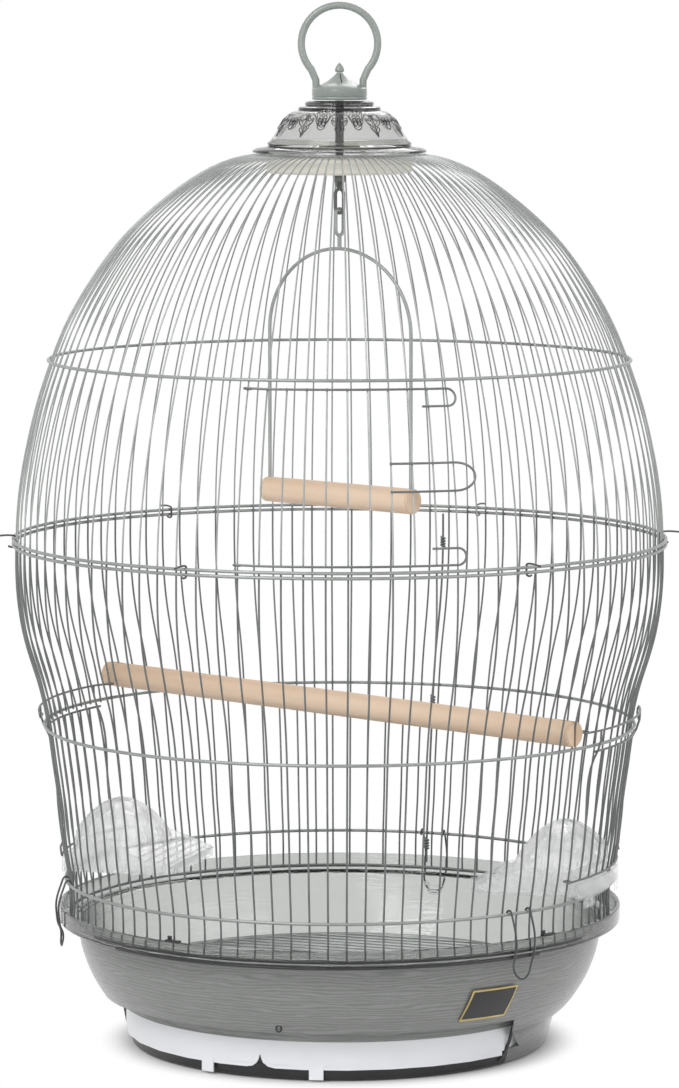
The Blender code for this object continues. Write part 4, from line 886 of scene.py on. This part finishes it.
def swing():
    along = Vector((cos(radians(SWING_TURN)), sin(radians(SWING_TURN)), 0))
    across = Vector((-along.y, along.x, 0))
    nut = turned("scene_swing_hook", [(0, 0.5319), (0.0041, 0.5319), (0.0041, 0.5277), (0.0031, 0.5273),
                                      (0.0014, 0.5227), (0, 0.5227)], 6)
    link_half, link_height, loop_height = 0.0034, 0.0145, 0.016
    link_path = oval(SWING_PIVOT_Z + link_height / 2, link_half, link_height, along)
    eye = tubes("eye", [link_path], SWING_WIRE_R, closed=True)
    place(combined(nut, [eye]), "wire_low", nodes=["swing_hook"])
    rise = SWING_TOP - SWING_SPRING
    points = [along * SWING_HALF + Vector((0, 0, SWING_FOOT))]
    for t in np.linspace(0, pi, 41):
        points.append(along * SWING_HALF * cos(t) + Vector((0, 0, SWING_SPRING + rise * sin(t))))
    points.append(along * -SWING_HALF + Vector((0, 0, SWING_FOOT)))
    eye_top = SWING_PIVOT_Z + 0.0025
    arch = tubes("scene_swing_frame", [points], SWING_WIRE_R, sides=12)
    loop_path = oval(eye_top - loop_height / 2, link_half, loop_height, across)
    loop = tubes("loop", [loop_path], SWING_WIRE_R, closed=True)
    stalk = tubes("stalk", [[(0, 0, eye_top - loop_height), (0, 0, SWING_TOP)]], 0.0013)
    place(smooth(combined(arch, [loop, stalk])), "wire", "swing", ["swing_frame"])
    dowel("scene_swing_dowel", Vector((0, 0, SWING_FOOT + 0.0029)), along, 0.0605, "swing", "swing_dowel")


def long_perch():
    """Across the cage, lower at its front end, with a slit in each end for a cage wire."""
    shift, kerf = -0.0050, 0.0125
    along = (outward(PERCH_AZIMUTH) + Vector((0, 0, -PERCH_FALL))).normalized()
    centre = along * shift + Vector((0, 0, PERCH_Z))
    dowel("scene_long_perch", centre, along, PERCH_HALF, "cage", "long_perch", kerf)


def dowel(name, centre, along, half, body, node, kerf=0.0):
    """A beech rod whose mesh lies along its own X axis, for its grain, with slits as deep as the kerf."""
    mesh = bpy.data.meshes.new(name)
    made = bmesh.new()
    bmesh.ops.create_cone(made, cap_ends=True, segments=48, radius1=DOWEL_R, radius2=DOWEL_R, depth=half * 2)
    rims = [e for e in made.edges if len({len(f.verts) for f in e.link_faces}) == 2]
    bmesh.ops.bevel(made, geom=rims, offset=0.0006, segments=2, affect="EDGES")
    bmesh.ops.rotate(made, cent=(0, 0, 0), matrix=Matrix.Rotation(pi / 2, 3, "Y"), verts=made.verts)
    made.to_mesh(mesh)
    made.free()
    obj = link(name, mesh)
    if kerf:
        slits = []
        for end in (-half, half):
            slits.append(box("slit", (end - kerf, -0.0011, -0.01), (end + kerf, 0.0011, 0.01), 90))
        obj = combined(obj, slits, "DIFFERENCE")
    obj.matrix_world = Matrix.Translation(centre) @ along.to_track_quat("X", "Z").to_matrix().to_4x4()
    place(smooth(obj), "wood", body, [node])


def plaque():
    """The bare dark plate with its pale edge on the bowl."""
    middle, low, height, half, lean = 33.5, 0.0370, 0.0195, 0.0165, 0.0035
    bowl_heights, bowl_radii = [0.0244, 0.0367, 0.0490, 0.0590], [0.1393, 0.1492, 0.1559, 0.1597]
    for name, kind, inset, lift in (("edge", "gold", 0.0, 0.0006), ("face", "plate", 0.0012, 0.00085)):
        rows = []
        for v in np.linspace(0, 1, 5):
            z = low + inset + (height - 2 * inset) * v
            r = float(np.interp(z, bowl_heights, bowl_radii)) + lift
            along = [u * (half - inset) + (v - 0.5) * lean for u in np.linspace(-1, 1, 9)]
            rows.append([polar(r, middle + degrees(t / r), z) for t in along])
        place(smooth(sheet(f"scene_plaque_{name}", rows, 0.0005)), kind)


def lip_tabs():
    """The small catches on the lip and the little lug above the drawer."""
    for number, azimuth in enumerate((44.9, -36.5), 1):
        tab = box("tab", (0.1690, -0.0050, 0.0858), (0.1722, 0.0050, 0.0872), azimuth, 0.0004)
        post = box("post", (0.1692, -0.0044, 0.0866), (0.1704, -0.0016, 0.0892), azimuth, 0.0004)
        tab = combined(tab, [post])
        tab.name = f"scene_tab_{number}"
        place(smooth(tab), "plate")
    r, z, azimuth = 0.1485, 0.0350, -15.4
    ring = [polar(r, azimuth + degrees(0.0016 * cos(a) / r), z + 0.0020 * sin(a))
            for a in np.linspace(0, 2 * pi, 25)[:-1]]
    place(smooth(tubes("scene_lug", [ring], 0.0005, closed=True)), "plate")


def sector(name, inner, outer, low, high, middle, half):
    """A slice of a ring with square edges."""
    mesh = bpy.data.meshes.new(name)
    body = bmesh.new()
    rings = []
    for a in np.linspace(middle - half, middle + half, 13):
        corners = ((inner, low), (outer, low), (outer, high), (inner, high))
        rings.append([body.verts.new(polar(r, a, z)) for r, z in corners])
    for one, two in zip(rings, rings[1:]):
        for i in range(4):
            body.faces.new([one[i], one[(i + 1) % 4], two[(i + 1) % 4], two[i]])
    body.faces.new(rings[0])
    body.faces.new(rings[-1])
    bmesh.ops.recalc_face_normals(body, faces=body.faces)
    body.to_mesh(mesh)
    body.free()
    return link(name, mesh)


def cup_hood(middle):
    """The fluted half dome over the cup's outer end."""
    out, side = outward(middle), sideways(middle)
    centre, depth, width, reach = 0.1430, 0.0275, 0.0430, 0.1648
    low, height = 0.1165, 0.0262
    rows = []
    for t in np.linspace(0, 1, 15):
        spread = (1 - t**1.5) ** 0.62
        row = []
        for a in np.linspace(0, 360, 73)[:-1]:
            flute = 1 + 0.035 * cos(radians(12 * a)) * (1 - t) + 0.012 * cos(radians(5 * a + 40))
            r = centre + depth * spread * flute * cos(radians(a))
            s = width * spread * flute * sin(radians(a))
            pull = min(1.0, reach / hypot(r, s))
            row.append(out * r * pull + side * s * pull + Vector((0, 0, low + height * t)))
        rows.append(row + [row[0]])
    return sheet("hood", rows, 0.0010)


def cup_tray(middle):
    plan = [(0.0945, -0.036), (0.0985, -0.0425), (0.110, -0.0455), (0.1580, -0.0455), (0.1640, 0.0),
            (0.1580, 0.0455), (0.110, 0.0455), (0.0985, 0.0425), (0.0945, 0.036)]
    inside = [(r + 0.0014 if r < 0.12 else r - 0.0014, s * 0.968) for r, s in plan]
    tray = prism("tray", plan, CUP_BOTTOM, 0.1190, middle)
    return combined(tray, [prism("inside", inside, 0.1046, 0.13, middle), above_rim(middle)], "DIFFERENCE")


def above_rim(middle):
    """What lies above the tray's sloping rim."""
    slope = [(0.080, 0.1085), *zip(*CUP_RIM), (0.170, 0.1185), (0.170, 0.14), (0.080, 0.14)]
    return extruded("slope", [(r, -0.06, z) for r, z in slope], (0, 0.12, 0), middle)


def joined(obj, others):
    for other in bpy.context.selected_objects:
        other.select_set(False)
    for other in (obj, *others):
        other.select_set(True)
    bpy.context.view_layer.objects.active = obj
    bpy.ops.object.join()
    return obj


def cups():
    for side, middle in FEEDERS.items():
        cup = cup_tray(middle)
        cup.name = f"scene_feeder_cup_{side}"
        pieces = [cup_hood(middle), sector("root", 0.1600, 0.1700, CUP_BOTTOM, 0.1044, middle, 15.5),
                  sector("band", CUP_BAND_INNER, CUP_BAND_OUTER, CUP_BOTTOM, 0.1118, middle, 16.4)]
        for a in (-11, 11):
            pieces.append(sector("tab", CUP_BAND_INNER, CUP_BAND_OUTER, 0.0965, CUP_BOTTOM, middle + a, 2.2))
        for k in range(5):
            r = 0.0960 + 0.0052 * k
            z = float(np.interp(r, *CUP_RIM)) - 0.0016
            ends = [outward(middle) * r + sideways(middle) * t + Vector((0, 0, z)) for t in (-0.040, 0.040)]
            pieces.append(tubes("rib", [ends], 0.0008))
        place(smooth(joined(cup, pieces), 30), "clear", nodes=[f"feeder_cup_{side}"])


# Stage

def seen_white(tree):
    """1 for rays from the camera, off a mirror or through clear plastic, and 0 for light."""
    rays = tree.nodes.new("ShaderNodeLightPath")
    shown = computed(tree, "MAXIMUM", rays.outputs["Is Camera Ray"], rays.outputs["Is Glossy Ray"])
    return computed(tree, "MAXIMUM", shown, rays.outputs["Is Transmission Ray"])


def floor_material():
    """Pale under the cage, where its shadow falls, and pure white further out."""
    made = bpy.data.materials.new("floor")
    made.use_nodes = True
    tree = made.node_tree
    tree.nodes.clear()
    out = tree.nodes.new("ShaderNodeOutputMaterial")
    mix = tree.nodes.new("ShaderNodeMixShader")
    diffuse = tree.nodes.new("ShaderNodeBsdfDiffuse")
    diffuse.inputs["Color"].default_value = (0.86, 0.86, 0.86, 1)
    glow = tree.nodes.new("ShaderNodeEmission")
    glow.inputs["Strength"].default_value = 1.0
    coordinates = tree.nodes.new("ShaderNodeTexCoord")
    length = tree.nodes.new("ShaderNodeVectorMath")
    length.operation = "LENGTH"
    tree.links.new(coordinates.outputs["Object"], length.inputs[0])
    far = ranged(tree, length.outputs["Value"], PATCH_END, WHITE_START, 0, 1)
    tree.links.new(computed(tree, "MULTIPLY", far, seen_white(tree)), mix.inputs["Fac"])
    tree.links.new(diffuse.outputs["BSDF"], mix.inputs[1])
    tree.links.new(glow.outputs["Emission"], mix.inputs[2])
    tree.links.new(mix.outputs["Shader"], out.inputs["Surface"])
    return made


def floor():
    mesh = bpy.data.meshes.new("floor")
    body = bmesh.new()
    bmesh.ops.create_circle(body, cap_ends=True, segments=96, radius=4)
    body.to_mesh(mesh)
    body.free()
    obj = link("floor", mesh)
    obj.location.z = FLOOR_Z
    obj.data.materials.append(floor_material())


def backdrop():
    """White where it is seen, and a softer even light on the cage."""
    world = bpy.data.worlds.new("studio")
    bpy.context.scene.world = world
    world.use_nodes = True
    tree = world.node_tree
    tree.nodes.clear()
    out = tree.nodes.new("ShaderNodeOutputWorld")
    mix = tree.nodes.new("ShaderNodeMixShader")
    light, shown = tree.nodes.new("ShaderNodeBackground"), tree.nodes.new("ShaderNodeBackground")
    light.inputs["Strength"].default_value = 0.55
    shown.inputs["Color"].default_value = (1, 1, 1, 1)
    shown.inputs["Strength"].default_value = 1.0
    tree.links.new(seen_white(tree), mix.inputs["Fac"])
    tree.links.new(light.outputs["Background"], mix.inputs[1])
    tree.links.new(shown.outputs["Background"], mix.inputs[2])
    tree.links.new(mix.outputs["Shader"], out.inputs["Surface"])


def aimed(name, data, where):
    obj = link(name, data)
    obj.location = where
    obj.rotation_euler = (Vector(LAMP_AIM) - Vector(where)).to_track_quat("-Z", "Y").to_euler()


def lamps():
    for name, where, energy, size in (
        ("key", (-1.5, -1.8, 2.3), 42, 1.6),
        ("fill", (2.0, -1.2, 1.4), 16, 1.8),
        ("back", (0.4, 2.2, 2.2), 18, 1.6),
        ("low", (-1.0, -2.4, 0.55), 9, 1.0),
    ):
        lamp = bpy.data.lights.new(name, "AREA")
        lamp.energy, lamp.size = energy, size
        aimed(name, lamp, where)


def camera():
    lens = bpy.data.cameras.new("camera")
    lens.sensor_width = 36
    lens.lens = PHOTO_FOCAL * lens.sensor_width / PHOTO_ROWS
    lens.clip_end = 20
    obj = link("camera", lens)
    turn = radians(CAMERA_AZIMUTH)
    obj.location = polar(CAMERA_DISTANCE, CAMERA_AZIMUTH, CAMERA_HEIGHT)
    obj.rotation_euler = (pi / 2 - CAMERA_PITCH, 0, turn)
    bpy.context.scene.camera = obj


upper_half()
lower_half()
hoops()
front_door()
door_handle()
for side in FEEDERS:
    feeder_door(side)
base_clips()
belly_clips()
seam()
base()
base_lines()
drawer()
grille()
cap()
cap_relief()
hanger()
swing()
long_perch()
plaque()
lip_tabs()
cups()
floor()
backdrop()
lamps()
camera()
bpy.context.scene.view_settings.view_transform = "Standard"
